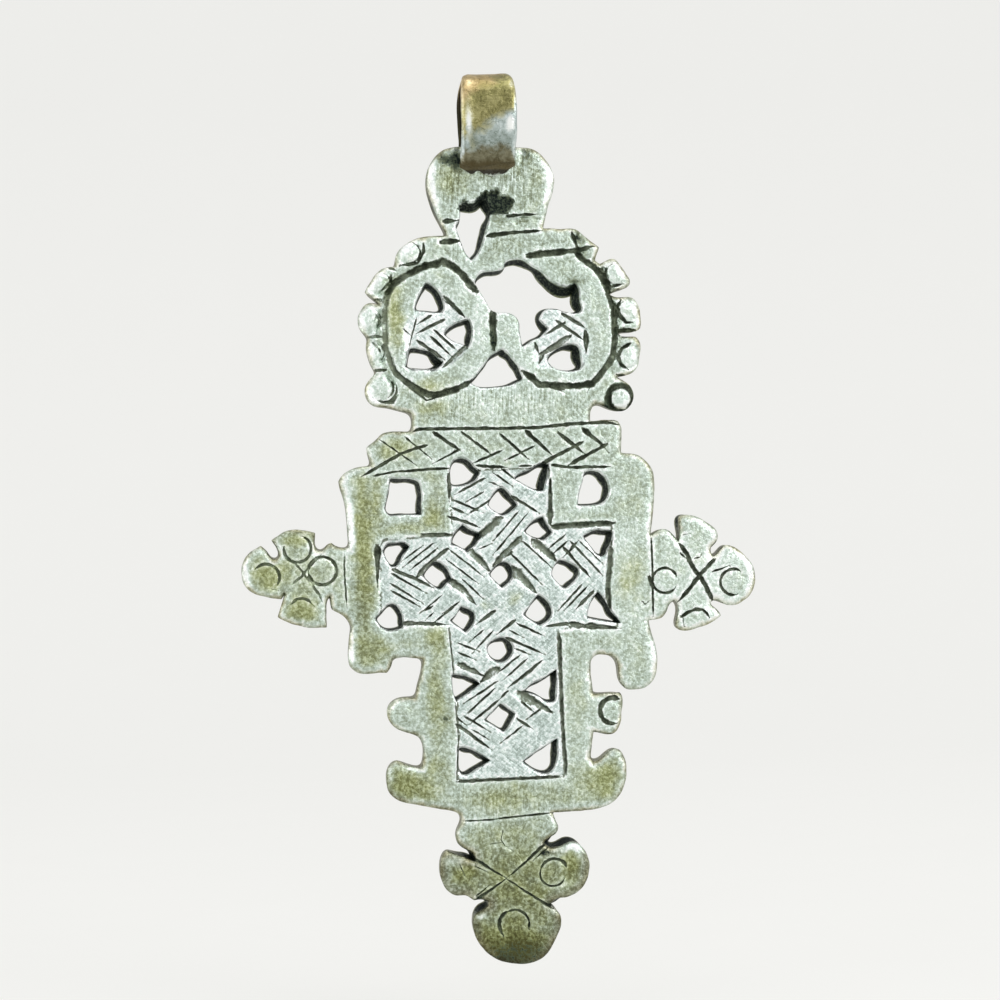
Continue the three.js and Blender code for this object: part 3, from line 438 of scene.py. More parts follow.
def patches(points, rounds):
    """The strength that soft oval patches give each point, 0 where there is none."""
    total = np.zeros(len(points))
    for x, z, half_width, half_height, strength in rounds:
        reach = ((points[:, 0] - x) / half_width) ** 2 + ((points[:, 1] - z) / half_height) ** 2
        total = np.maximum(total, strength * np.exp(-reach))
    return total


def plate_loops():
    """The edge loops of the plate's flat back, each a list of (x, z), the rim first."""
    shape = bmesh.new()
    shape.from_mesh(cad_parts["cross_plate"].data)
    bmesh.ops.remove_doubles(shape, verts=shape.verts, dist=1e-7)
    shape.normal_update()
    joined = {}
    for edge in shape.edges:
        facing = sorted(abs(face.normal.y) for face in edge.link_faces)
        on_back = all(vertex.co.y > PLATE_HIGH.y - 1e-5 for vertex in edge.verts)
        if on_back and facing[0] < 0.5 < facing[-1]:
            a, b = edge.verts
            joined.setdefault(a, []).append(b)
            joined.setdefault(b, []).append(a)
    loops = []
    left = dict.fromkeys(joined)
    while left:
        loop = []
        step = [next(iter(left))]
        while step:
            loop.append(step[0])
            del left[step[0]]
            step = [vertex for vertex in joined[loop[-1]] if vertex in left]
        loops.append(np.array([(v.co.x / MM, v.co.z / MM) for v in loop]))
    shape.free()
    return sorted(loops, key=lambda loop: -np.ptp(loop[:, 1]))


def signed_area(loop):
    """Twice the loop's area, positive when it runs anticlockwise."""
    x, z = loop[:, 0], loop[:, 1]
    return np.sum(x * np.roll(z, -1) - np.roll(x, -1) * z)


def outward(loop):
    """Unit vectors across the loop, to the right of its direction."""
    along = np.roll(loop, -1, axis=0) - np.roll(loop, 1, axis=0)
    along /= np.maximum(np.linalg.norm(along, axis=1), 1e-9)[:, None]
    return np.stack([along[:, 1], -along[:, 0]], axis=1)


def smoothed(loop, share):
    """The loop, each point moved by the given share of its way to the middle of its two neighbours."""
    middle = (np.roll(loop, 1, axis=0) + np.roll(loop, -1, axis=0)) / 2
    return loop * (1 - share) + middle * share


def filed_loop(loop, seed):
    """The loop in fine steps, its curves smoothed, its corners worn and its line a little uneven."""
    fine = resampled(np.vstack([loop, loop[:1]]), OUTLINE_STEP)[:-1]
    before = fine - np.roll(fine, 1, axis=0)
    after = np.roll(fine, -1, axis=0) - fine
    across = before[:, 0] * after[:, 1] - before[:, 1] * after[:, 0]
    turn = np.abs(np.arctan2(across, (before * after).sum(1)))
    corner = (turn > math.radians(CORNER_DEGREES))[:, None]
    for _ in range(3):
        fine = np.where(corner, smoothed(fine, 0.15), smoothed(fine, 0.5))
    return fine + outward(fine) * (smooth_noise(fine, 0.9, seed)[:, None] * 0.05)


def moved_in(loops, offsets):
    """Copies of the loops, moved onto the metal by each of the offsets."""
    return [loop - outward(loop) * offset for loop in loops for offset in offsets]


def crossed(points, loop):
    """Whether each point has an odd number of the loop's edges on its +X side, and so lies inside it."""
    x, z = points[:, 0], points[:, 1]
    odd = np.zeros(len(points), bool)
    for a, b in zip(loop, np.roll(loop, -1, axis=0)):
        rows = (a[1] > z) != (b[1] > z)
        if rows.any():
            odd[rows] ^= x[rows] < a[0] + (z[rows] - a[1]) * (b[0] - a[0]) / (b[1] - a[1])
    return odd


class Outline:
    """The plate's rim and piercings, with quick tests of which side of them a point is on and how far off."""

    def __init__(self, loops):
        self.loops = loops
        dense = [resampled(np.vstack([loop, loop[:1]]), 0.05) for loop in loops]
        self.samples = np.concatenate(dense)
        self.loop_of = np.concatenate([np.full(len(d), i) for i, d in enumerate(dense)])
        self.tree = kdtree.KDTree(len(self.samples))
        for i, (x, z) in enumerate(self.samples):
            self.tree.insert((x, z, 0), i)
        self.tree.balance()

    def nearest(self, points):
        """For each point, its distance to the outline and the nearest outline sample's index."""
        found = [self.tree.find((x, z, 0)) for x, z in points]
        return np.array([f[2] for f in found]), np.array([f[1] for f in found])

    def inside(self, points):
        """Whether each point is on metal."""
        return np.logical_xor.reduce([crossed(points, loop) for loop in self.loops])

    def on_metal(self, points, margin):
        """The points that are on metal and more than margin from its edges."""
        gap, _ = self.nearest(points)
        return points[self.inside(points) & (gap > margin)]


def beside(points, line, width, margin):
    """The points within margin of a line's edges: their places, how far across it, and the line's width.

    How far across is 0 at the middle, 1 at the edge in shade and -1 at the other edge.
    """
    reach = width.max() * 0.5 + margin
    low, high = line.min(0) - reach, line.max(0) + reach
    near = np.flatnonzero(((points > low) & (points < high)).all(1))
    if not len(near):
        return near, np.zeros(0), np.zeros(0)
    p = points[near][:, None, :]
    a, b = line[:-1][None], line[1:][None]
    along = b - a
    t = np.clip(((p - a) * along).sum(2) / np.maximum((along ** 2).sum(2), 1e-12), 0, 1)
    away = p - a - along * t[..., None]
    gap = np.linalg.norm(away, axis=2)
    best = gap.argmin(1)
    rows = np.arange(len(near))
    gap, t, away = gap[rows, best], t[rows, best], away[rows, best]
    wide = width[best] * (1 - t) + width[best + 1] * t
    return near, np.where(away @ SHADE_SIDE > 0, 1, -1) * gap / (wide * 0.5), wide


def uneven_line(points, seed):
    """A hand-cut line through the points, in fine steps that wander a little."""
    line = resampled(np.reshape(points, (-1, 2)), CUT_STEP)
    wander = smooth_noise(line, 0.9, seed) * 0.04 + smooth_noise(line, 0.35, seed + 0.3) * 0.025
    return line + outward(line) * wander[:, None]


class Cuts:
    """All engraved lines, as fine polylines with a width at each point."""

    def __init__(self):
        self.lines = []
        for start, end, *points in LINE_CUTS:
            self.add(points, start, end)
        crescents = [(x, z, radius * 0.95, 90 - side * 150, 90 - side * 20, CRESCENT_WIDTH)
                     for x, z, radius, _ in BEADS for side in [math.copysign(1, -x)]]
        for x, z, radius, first, last, width in ARC_CUTS + crescents:
            angles = np.radians(np.linspace(first, last, 24))
            arc = np.stack([x + radius * np.cos(angles), z + radius * np.sin(angles)], axis=1)
            self.add(arc, width, width)
        self.hollows = [(uneven_line(points, 81 + i), width) for i, (width, *points) in enumerate(HOLLOWS)]

    def add(self, points, start, end):
        """A line whose width goes from start to end, wavers, and tapers to both ends."""
        seed = 3.0 + 1.7 * len(self.lines)
        line = uneven_line(points, seed)
        travelled = np.concatenate([[0], np.cumsum(np.linalg.norm(np.diff(line, axis=0), axis=1))])
        width = start + (end - start) * travelled / travelled[-1]
        width = width * (1.25 + 0.2 * smoothstep(0.22, 0.5, width))
        waver, fine_waver = smooth_noise(line, 0.5, seed + 0.5), smooth_noise(line, 0.2, seed + 0.8)
        width = width * (1 + 0.34 * waver + 0.22 * fine_waver)
        width = width * (0.5 + 0.5 * smoothstep(0, 0.35, travelled))
        width = width * (0.35 + 0.65 * smoothstep(0, 0.9, travelled[-1] - travelled))
        self.lines.append((line, width))

    def points(self):
        """Mesh points along the lines: their middles, both edges, the shoulders and the slopes."""
        lines = [(line, outward(line), width[:, None] / 2) for line, width in self.lines]
        out = [line for line, _, _ in lines]
        for share, beyond in ((1, 0), (1, SHOULDER_REACH), (0.5, 0)):
            for line, side, half in lines:
                offset = side * (half * share + beyond)
                out += [line + offset, line - offset]
        return np.concatenate(out)

    def field(self, points, woven):
        """For each point: the depth cut there, how dark the line is there, and how near its shoulder is.

        Wide cuts between woven straps are painted lighter on their lit side. The line's darkness is dirt in
        the cut with painted shade on its shaded side, and the shoulder gets a painted highlight.
        """
        depth, dark, shoulder_highlight = np.zeros((3, len(points)))
        lit = smooth_noise(points, 0.9, 91)
        for line, width in self.lines:
            near, u, wide = beside(points, line, width, 0.35)
            profile = np.where(u > 0.3, (1 - u) / 0.7, (1 + u) / 1.3)
            deepest = 0.06 + 0.38 * np.minimum(wide, 0.75)
            depth[near] = np.maximum(depth[near], deepest * np.clip(profile, 0, 1) ** 0.85)
            # Painted shade: wide cuts in the woven fields are lighter on their lit side than on their shaded
            # side.
            lit_side_lightening = smoothstep(0.28, 0.55, wide) * woven[near] * (0.42 - 0.42 * smoothstep(-0.1, 0.75, u))
            tone = (1 - lit_side_lightening) * (0.6 + 0.25 * smoothstep(0.12, 0.25, wide) + 0.3 * lit[near])
            dark[near] = np.maximum(dark[near], smoothstep(1.12, 0.75, np.abs(u)) * tone)
            # Each cut's shoulder gets a painted highlight.
            beyond = (np.abs(u) - 1) * wide * 0.5
            shoulder_highlight[near] = np.maximum(shoulder_highlight[near], smoothstep(0.24, 0.06, beyond))
        return depth, dark * (1 - patches(points, FAINT_PATCHES)), shoulder_highlight

    def hollow(self, points):
        """How deep each point lies in the wide shallow hollows, 0 to 1."""
        inside = np.zeros(len(points))
        for line, width in self.hollows:
            near, u, _ = beside(points, line, np.full(len(line), width), 0.4)
            inside[near] = np.maximum(inside[near], smoothstep(1.35, 0.65, np.abs(u)))
        return inside


def polygon_gap(points, polygon):
    """The distance to the polygon's edge, positive inside it and negative outside."""
    corners = np.asarray(polygon, float)
    gap = np.full(len(points), 1e9)
    for a, b in zip(corners, np.roll(corners, -1, axis=0)):
        along = b - a
        t = np.clip(((points - a) @ along) / (along @ along), 0, 1)
        gap = np.minimum(gap, np.linalg.norm(points - a - t[:, None] * along, axis=1))
    return np.where(crossed(points, corners), gap, -gap)


def thinned(points, spacing, taken):
    """The points, in order, that are at least spacing from each other and from those in taken."""
    cells = {}
    for x, z in taken:
        cells.setdefault((int(x // spacing), int(z // spacing)), []).append((x, z))
    kept = []
    for x, z in points:
        column, row = int(x // spacing), int(z // spacing)
        around = [(c, r) for c in (column - 1, column, column + 1) for r in (row - 1, row, row + 1)]
        others = [other for cell in around for other in cells.get(cell, ())]
        if all((ox - x) ** 2 + (oz - z) ** 2 >= spacing * spacing for ox, oz in others):
            kept.append((x, z))
            cells.setdefault((column, row), []).append((x, z))
    return np.array(kept)


def grid_points(low, high, step):
    """Staggered rows of points over a box."""
    rows = []
    for i, z in enumerate(np.arange(low[1], high[1], step * 0.866)):
        x = np.arange(low[0] + (i % 2) * step / 2, high[0], step)
        rows.append(np.stack([x, np.full(len(x), z)], axis=1))
    return np.concatenate(rows)


def sheet(outline, box, chosen, spacing):
    """Triangles over the outline's metal, through the chosen points and a grid over the box between them.

    Returns the points, the triangles, and for each loop the places of its points among them.
    """
    margin, apart, step, grid_margin, grid_apart = spacing
    loops = outline.loops
    chosen = thinned(outline.on_metal(chosen, margin), apart, np.concatenate(loops))
    grid = thinned(outline.on_metal(grid_points(*box, step), grid_margin), step * grid_apart, chosen)
    start = np.cumsum([0] + [len(loop) for loop in loops])
    edges = []
    for first, loop in zip(start, loops):
        edges += [(first + i, first + (i + 1) % len(loop)) for i in range(len(loop))]
    given = [Vector(p) for p in np.concatenate(loops + [chosen, grid])]
    points, _, faces, origins, _, _ = geometry.delaunay_2d_cdt(given, edges, [], 0, 1e-6, True)
    place = {source: i for i, sources in enumerate(origins) for source in sources}
    rings = [np.array([place[first + i] for i in range(len(loop))]) for first, loop in zip(start, loops)]
    points = np.array([tuple(p) for p in points])
    faces = np.array(faces)
    return points, faces[outline.inside(points[faces].mean(axis=1))], rings


def front_depth(points, outline, cuts):
    """The depth of the engraved face at each point, and its masks there: wear, stain and dirt, with painted
    shade and painted highlights.
    """
    loose = ragged(points)
    gap, sample = outline.nearest(points)
    on_rim = outline.loop_of[sample] == 0
    # The beads' tops get painted highlights.
    bead_highlights = [(x, z, radius * 0.9, radius * 0.9, 0.9) for x, z, radius, _ in BEADS]
    highlight_and_wear = patches(points, HIGHLIGHT_AND_WEAR_PATCHES + bead_highlights)
    foot = smoothstep(FOOT_TOP, FOOT_TOP - 4, points[:, 1])
    worn = (1 + 0.45 * smooth_noise(outline.samples[sample], 1.6, 11) + 0.3 * highlight_and_wear) * (1 - 0.5 * foot)
    across = np.clip(1 - gap / (np.where(on_rim, RIM_REACH, PIERCING_REACH) * worn), 0, 1)
    edge_depth = np.where(on_rim, RIM_FALL, PIERCING_FALL) * worn * across ** 2.2
    edge_depth += 0.1 * np.clip(1 - gap / 0.14, 0, 1) ** 2
    # The edge mask: a painted highlight along the rim's crest and the piercings' burrs, on edges that are also
    # rubbed bright by wear.
    loose_gap = gap + 0.22 * smooth_noise(points, 0.8, 12) + 0.1 * smooth_noise(points, 0.3, 13)
    crest_highlight = smoothstep(0.55 + 0.25 * highlight_and_wear, 0.38 + 0.15 * highlight_and_wear, loose_gap)
    crest_highlight *= smoothstep(0.05, 0.25, loose_gap)
    crest_highlight *= np.clip(0.25 - 0.25 * foot + 0.9 * smooth_noise(points, 1.7, 14) + 1.2 * highlight_and_wear, 0, 1.25)
    burr_highlight = smoothstep(0.26, 0.1, loose_gap) * np.clip(0.8 + smooth_noise(points, 1.2, 15), 0, 1)
    # The rim's bevel: brown-olive stain, darkened further as painted shade.
    stained_and_shaded_rim = np.clip(0.8 + 0.9 * smooth_noise(points, 1.9, 16) - 0.6 * highlight_and_wear, 0, 1)

    steps = [(polygon_gap(loose * 0.3 + points * 0.7, field), deep) for field, deep in WOVEN_FIELDS]
    woven = smoothstep(-0.1, 0.1, np.max([gap_to_step for gap_to_step, _ in steps], axis=0))
    lowered = sum(smoothstep(-0.1, 0.1, gap_to_step) * deep for gap_to_step, deep in steps)
    cut_depth, dark, shoulder_highlight = cuts.field(points, woven)
    hollow = cuts.hollow(loose)
    pit = smoothstep(-0.06, 0.1, polygon_gap(loose, NECK_PIT))
    lumps = smooth_noise(points, 0.4, 31)
    waves = 0.04 * (1 + smooth_noise(points, 2.4, 21)) + 0.03 * (1 + smooth_noise(points, 0.9, 22))
    depth = waves + edge_depth + cut_depth + lowered + hollow * (0.2 + 0.1 * lumps)
    depth += pit * (0.45 + 0.25 * lumps)
    for x, z, radius, height in DOMES:
        reach = np.hypot(points[:, 0] - x, points[:, 1] - z) / radius
        dome = 1 - np.sqrt(np.clip(1 - reach ** 2, 0, 1))
        depth += height * np.where(reach < 1, dome, smoothstep(1.35, 1.0, reach))
    # Dark patches and the neck's pit: dirt, with painted shade in some patches and in the hollows.
    dirt_and_shade = np.maximum(patches(loose, DIRT_AND_SHADE_PATCHES), pit * (1 + 0.2 * lumps))
    # At the woven field's step: painted shade just inside its foot, and a painted highlight along its head.
    frame_step = steps[0][0]
    shade_at_step_foot = smoothstep(0.3, 0.08, frame_step) * (frame_step > 0)
    highlight_at_step_head = smoothstep(0.3, 0.08, -frame_step) * (frame_step < 0)
    return np.maximum(depth, 0.01), {
        "cut_dirt_and_shade": np.clip(np.maximum(dark, shade_at_step_foot * (0.6 + 0.25 * lumps)), 0, 1),
        "edge": np.where(on_rim, crest_highlight, burr_highlight),
        "rim_stain_and_shade": smoothstep(0.5 + 0.7 * foot, 0.12, loose_gap) * on_rim * stained_and_shaded_rim,
        "shoulder_highlight": np.maximum(shoulder_highlight * (1 - dark), highlight_at_step_head * 1.3),
        "olive": patches(loose, OLIVE_PATCHES),
        "woven": woven,
        "dirt_and_shade": np.clip(np.maximum(dirt_and_shade, 0.42 * hollow), 0, 1),
        "highlight_and_wear": highlight_and_wear - 0.35 * foot,
        "border": smoothstep(1.2, 0.1, gap),
        "brush": patches(loose, BRUSHED_PATCHES),
    }


def back_depth(points, outline):
    """The depth of the plain back's dents and worn edges, counted from the back, and the masks there."""
    gap, _ = outline.nearest(points)
    across = np.clip(1 - gap / BACK_ROUNDING, 0, 1)
    edge_depth = BACK_ROUNDING * 0.7 * (1 - np.sqrt(1 - across ** 2 * 0.98))
    waves = 0.06 * (1 + smooth_noise(points, 3.4, 41)) + 0.03 * (1 + smooth_noise(points, 1.2, 42))
    lumps = smooth_noise(points, 0.9, 43)
    pits = 0.16 * smoothstep(0.42, 0.62, lumps)
    # On the back too, the edge mask is a painted highlight along the worn crest, and the rim mask is stain
    # with painted shade.
    loose_gap = gap + 0.22 * smooth_noise(points, 0.8, 45)
    crest_highlight = smoothstep(0.62, 0.4, loose_gap) * smoothstep(0.05, 0.25, loose_gap)
    return waves + pits + edge_depth, {
        "edge": crest_highlight * np.clip(0.35 + 0.9 * smooth_noise(points, 1.7, 46), 0, 1),
        "rim_stain_and_shade": smoothstep(0.4, 0.12, loose_gap) * 0.8,
        "dirt_and_shade": smoothstep(0.4, 0.7, lumps) * 0.5,
        "olive": np.clip(0.3 + 0.9 * smooth_noise(points, 5.0, 44), 0, 1),
        "highlight_and_wear": np.clip(0.9 * smooth_noise(points, 4.0, 47), 0, 1) * 0.6,
        "brush": np.clip(0.1 + 0.9 * smooth_noise(points, 7.0, 48), 0, 1),
    }


def leaned(loop, lean):
    """An edge loop at the back, where the wall below the loop leans off the metal by lean at each point."""
    for _ in range(DRAFT_STEPS):
        loop = smoothed(loop + outward(loop) * (lean / DRAFT_STEPS)[:, None], 0.5)
    return loop


def quads(rows, closed=False):
    """Faces between each row of vertex numbers and the next. The ends of closed rows are joined."""
    faces = []
    for upper, lower in zip(rows[:-1], rows[1:]):
        a, d = upper.tolist(), lower.tolist()
        if closed:
            a, d = a + a[:1], d + d[:1]
        faces += zip(a, a[1:], d[1:], d)
    return faces


def cross_plate():
    """The pierced plate with its engraved front, piercings whose walls are darkened with dirt and painted
    shade, and plain cast back.
    """
    loops = plate_loops()
    loops = [loop if (signed_area(loop) > 0) == (i == 0) else loop[::-1] for i, loop in enumerate(loops)]
    loops = [filed_loop(loop, 51 + i) for i, loop in enumerate(loops)]
    box = loops[0].min(0), loops[0].max(0)
    outline = Outline(loops)
    cuts = Cuts()
    chosen = [cuts.points()] + moved_in(loops[:1], RIM_RINGS) + moved_in(loops[1:], PIERCING_RINGS)
    front, front_faces, front_rings = sheet(outline, box, np.concatenate(chosen), FRONT_SPACING)
    depth, masks = front_depth(front, outline, cuts)
    parts = [(np.stack([front[:, 0], FRONT + depth, front[:, 1]], axis=1), masks)]

    back_loops = [leaned(loops[0], patches(loops[0], SLOPING_NOTCHES))]
    for loop in loops[1:]:
        draft = PIERCING_DRAFT * (1 + 0.6 * smooth_noise(loop, 1.1, 17)) * (1 + outward(loop) @ STEEP_SIDE)
        back_loops.append(leaned(loop, draft + patches(loop, LEANING_WALLS)))
    outline = Outline(back_loops)
    chosen = np.concatenate(moved_in(back_loops, BACK_RINGS))
    back, back_faces, back_rings = sheet(outline, box, chosen, BACK_SPACING)
    depth, masks = back_depth(back, outline)
    parts.append((np.stack([back[:, 0], BACK - depth, back[:, 1]], axis=1), masks))

    # The front's triangles run anticlockwise as seen from the front. The other faces are turned to match them.
    faces = front_faces.tolist() + (back_faces + len(front))[:, ::-1].tolist()
    for number, (front_ring, back_ring) in enumerate(zip(front_rings, back_rings)):
        top, bottom = parts[0][0][front_ring], parts[1][0][back_ring]
        across = outward(loops[number])
        # The walls of the piercings and of the rim are painted dark: dirt and painted shade, darker still on
        # the rim's walls in the notches.
        wall = {"dirt_and_shade": 1.0}
        if number == 0:
            wall = {"dirt_and_shade": 0.45 + 1.6 * patches(loops[0], SLOPING_NOTCHES), "rim_stain_and_shade": 1.0}
        rows = [front_ring]
        for i in range(1, WALL_ROWS):
            t = i / WALL_ROWS
            ring = top * (1 - t) + bottom * t
            unrolled = np.stack([ring[:, 0] + ring[:, 2], ring[:, 1] * 3], axis=1)
            marks = smooth_noise(unrolled, 0.5, 61 + number)[:, None]
            ring[:, (0, 2)] += across * ((marks - 0.6) * 0.05 * math.sin(math.pi * t))
            rows.append(np.arange(len(ring)) + sum(len(points) for points, _ in parts))
            parts.append((ring, wall))
        faces += [(a, d, c, b) for a, b, c, d in quads(rows + [back_ring + len(front)], closed=True)]
    values = {}
    for name in MASKS:
        shares = [np.broadcast_to(masks.get(name, 0.0), len(points)) for points, masks in parts]
        values[name] = np.concatenate(shares)
    points = np.concatenate([points for points, _ in parts])
    return mesh_object("engraved_plate", points, faces, values, turned=True)


def mesh_object(name, vertices, faces, masks=None, smooth_angle=40, turned=False):
    """A mesh of millimetre vertices as an object in metres, smooth but for its sharp edges.

    Its faces are turned outward here, unless they come turned.
    """
    mesh = bpy.data.meshes.new(name)
    mesh.from_pydata([tuple(v) for v in np.asarray(vertices) * MM], [], faces)
    for key, value in (masks or {}).items():
        attribute = mesh.attributes.new(key, "FLOAT", "POINT")
        attribute.data.foreach_set("value", value.astype(np.float32))
    piece = bpy.data.objects.new(name, mesh)
    bpy.context.scene.collection.objects.link(piece)
    shape = bmesh.new()
    shape.from_mesh(mesh)
    if not turned:
        bmesh.ops.recalc_face_normals(shape, faces=shape.faces)
    shape.to_mesh(mesh)
    shape.free()
    mesh.shade_smooth()
    mesh.set_sharp_from_angle(angle=math.radians(smooth_angle))
    return piece


def smooth_path(points, count):
    """Points along a smooth curve through the given ones."""
    p = np.asarray(points, float)
    p = np.vstack([2 * p[0] - p[1], p, 2 * p[-1] - p[-2]])
    spans = len(p) - 3
    out = []
    for s in np.linspace(0, spans, count):
        i = min(int(s), spans - 1)
        t = s - i
        a, b, c, d = p[i:i + 4]
        square, cube = 2 * a - 5 * b + 4 * c - d, 3 * b - a - 3 * c + d
        out.append(0.5 * (2 * b + (c - a) * t + square * t * t + cube * t ** 3))
    return np.array(out)


def strap_section(thickness, half_width):
    """The strap's cut end as (across, outward): rounded edges, and an outer face worn a little hollow."""
    half = thickness / 2
    points = []
    for i in range(STRAP_SECTION_POINTS):
        angle = 2 * math.pi * (i + 0.5) / STRAP_SECTION_POINTS
        c, s = math.cos(angle), math.sin(angle)
        x = math.copysign(abs(c) ** 0.34, c) * half_width
        y = math.copysign(abs(s) ** 0.8, s) * half
        flat = max(0.0, 1 - (abs(x) / (half_width - 0.5)) ** 4)
        points.append((x, y - (STRAP_HOLLOW * flat if y > 0 else 0)))
    return points


def bail_strap():
    """The strap bent over the neck, hammered a little uneven, with its two thinned ends."""
    leg = smooth_path(STRAP_LEG, STRAP_STEPS // 2)
    other = leg[::-1].copy()
    other[:, 0] *= -1
    path = np.vstack([other, leg[1:]])
    direction = np.gradient(path[:, :2], axis=0)
    direction /= np.linalg.norm(direction, axis=1)[:, None]
    vertices = []
    outside = []
    for (y, z, thickness, half_width), (dy, dz) in zip(path, direction):
        middle = STRAP_MIDDLE + STRAP_DRIFT * smoothstep(-2.2, -5.2, z)
        widen = 1 + 0.02 * noise.noise((z * 0.5, 7, y))
        for x, out in strap_section(thickness, half_width):
            dent = 0.06 * noise.noise((x / 1.3, y / 1.3 + 5, z / 1.3))
            dent += 0.025 * noise.noise((x * 2, y * 2, z * 2))
            push = out + (dent - 0.04 if out > 0 else -dent * 0.3)
            end = smoothstep(-4.2, -5.6, z) * STRAP_END_RISE * smoothstep(0.3, 2.6, abs(x - STRAP_END_LOW))
            vertices.append((middle + x * widen, y + dz * push, z - dy * push + end))
            outside.append(out / thickness + 0.5)
    rings = np.arange(len(vertices)).reshape(-1, STRAP_SECTION_POINTS)
    faces = quads(rings, closed=True)
    for ring in (rings[0].tolist(), rings[-1].tolist()):
        centre = np.mean([vertices[i] for i in ring], axis=0)
        faces += [(a, b, len(vertices)) for a, b in zip(ring, ring[1:] + ring[:1])]
        vertices.append((centre[0], centre[1], centre[2] - 0.05))
        outside.append(0.5)
    at = np.array(vertices)
    outside = np.array(outside)
    half = np.abs(at[:, 0] - STRAP_MIDDLE) / STRAP_HALF_WIDTH
    # Painted shade, with some dirt, on the strap's inner faces and on its side walls; painted highlights on
    # its outer face and along its edges.
    side_wall = smoothstep(0.93, 0.985, half) * (at[:, 1] > -2.2) * (at[:, 2] > -3.2)
    masks = {
        "inside": np.maximum(smoothstep(0.45, 0.15, outside), side_wall),
        "highlight_and_wear": np.maximum(patches(at[:, (0, 2)], STRAP_HIGHLIGHTS) * (at[:, 1] < 0),
                             smoothstep(0.86, 0.95, half) * (outside > 0.4) * 0.55),
    }
    return mesh_object("bent_strap_bail", vertices, faces, masks, smooth_angle=60)


def solder_seam(name, side):
    """A lumpy run of solder in the corner below a leg's end. Side is -1 at the front and 1 at the back."""
    low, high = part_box("solder_front" if side < 0 else "solder_back")
    top = high.z / MM + SEAM_TUCK
    face = side * (BACK - 0.06)
    vertices = []
    for c in range(SEAM_COLUMNS + 1):
        u = c / SEAM_COLUMNS
        x = STRAP_MIDDLE + STRAP_DRIFT + (u - 0.5) * SEAM_LENGTH
        ends = math.sin(math.pi * min(max(u, 0.02), 0.98)) ** 0.33
        drop = SEAM_DROP * ends * (0.72 + 0.3 * noise.noise((x * 1.1, side * 3, 0.5)))
        for r in range(SEAM_ROWS + 1):
            v = r / SEAM_ROWS
            lump = 0.05 * noise.noise((x * 1.6, v * 3, side * 2))
            depth = (SEAM_DEPTH * (1 - v) ** 1.6 + lump * math.sin(math.pi * v)) * ends
            vertices.append((x, face + side * max(depth, 0) + (side * 0.02), top - drop * v))
    count = len(vertices)
    vertices += [(x, face - side * 0.05, z) for x, _, z in vertices]
    grid = np.arange(count).reshape(SEAM_COLUMNS + 1, -1)
    faces = quads(grid.T) + quads(grid + count)
    for edge in (grid[:, 0], grid[:, -1], grid[0], grid[-1]):
        faces += quads([edge, edge + count])
    return mesh_object(name, vertices, faces, smooth_angle=70)


def linear(red, green, blue):
    """A colour written as 0 to 255 screen values, as the shader wants it."""
    values = [value / 255 for value in (red, green, blue)]
    return (*(v / 12.92 if v <= 0.04045 else ((v + 0.055) / 1.055) ** 2.4 for v in values), 1)


class Nodes:
    """A node tree, with a short call for each kind of node that the finishes and the world use."""

    def __init__(self, tree):
        self.tree = tree

    def set(self, socket, value):
        """Links a socket's value, or writes it on the input when it is the same all over."""
        if isinstance(value, bpy.types.NodeSocket):
            self.tree.links.new(value, socket)
        else:
            socket.default_value = value

    def node(self, kind, inputs=None, **settings):
        node = self.tree.nodes.new("ShaderNode" + kind)
        for name, value in settings.items():
            setattr(node, name, value)
        for name, value in (inputs or {}).items():
            self.set(node.inputs[name], value)
        return node

    def ramp(self, value, low, high, to_low=0.0, to_high=1.0):
        inputs = {"Value": value, "From Min": low, "From Max": high, "To Min": to_low, "To Max": to_high}
        return self.node("MapRange", inputs, interpolation_type="SMOOTHSTEP").outputs["Result"]

    def math(self, operation, a, b=0.0):
        return self.node("Math", {0: a, 1: b}, operation=operation).outputs[0]

    def times(self, a, b):
        return self.math("MULTIPLY", a, b)

    def plus(self, a, b):
        return self.math("ADD", a, b)

    def minus(self, a, b):
        return self.math("SUBTRACT", a, b)

    def blend(self, *parts):
        """The sum of each (value, weight)."""
        total = 0.0
        for value, weight in parts:
            total = self.plus(self.times(value, weight), total)
        return total

    def mix(self, factor, a, b):
        return self.node("Mix", {0: factor, 6: a, 7: b}, data_type="RGBA").outputs[2]

    def seen(self):
        """1 for what the eye sees, straight or in glossy metal, and 0 for the light that falls on things."""
        rays = self.node("LightPath").outputs
        seen = self.math("MAXIMUM", rays["Is Camera Ray"], rays["Is Glossy Ray"])
        return self.math("MAXIMUM", seen, rays["Is Transmission Ray"])


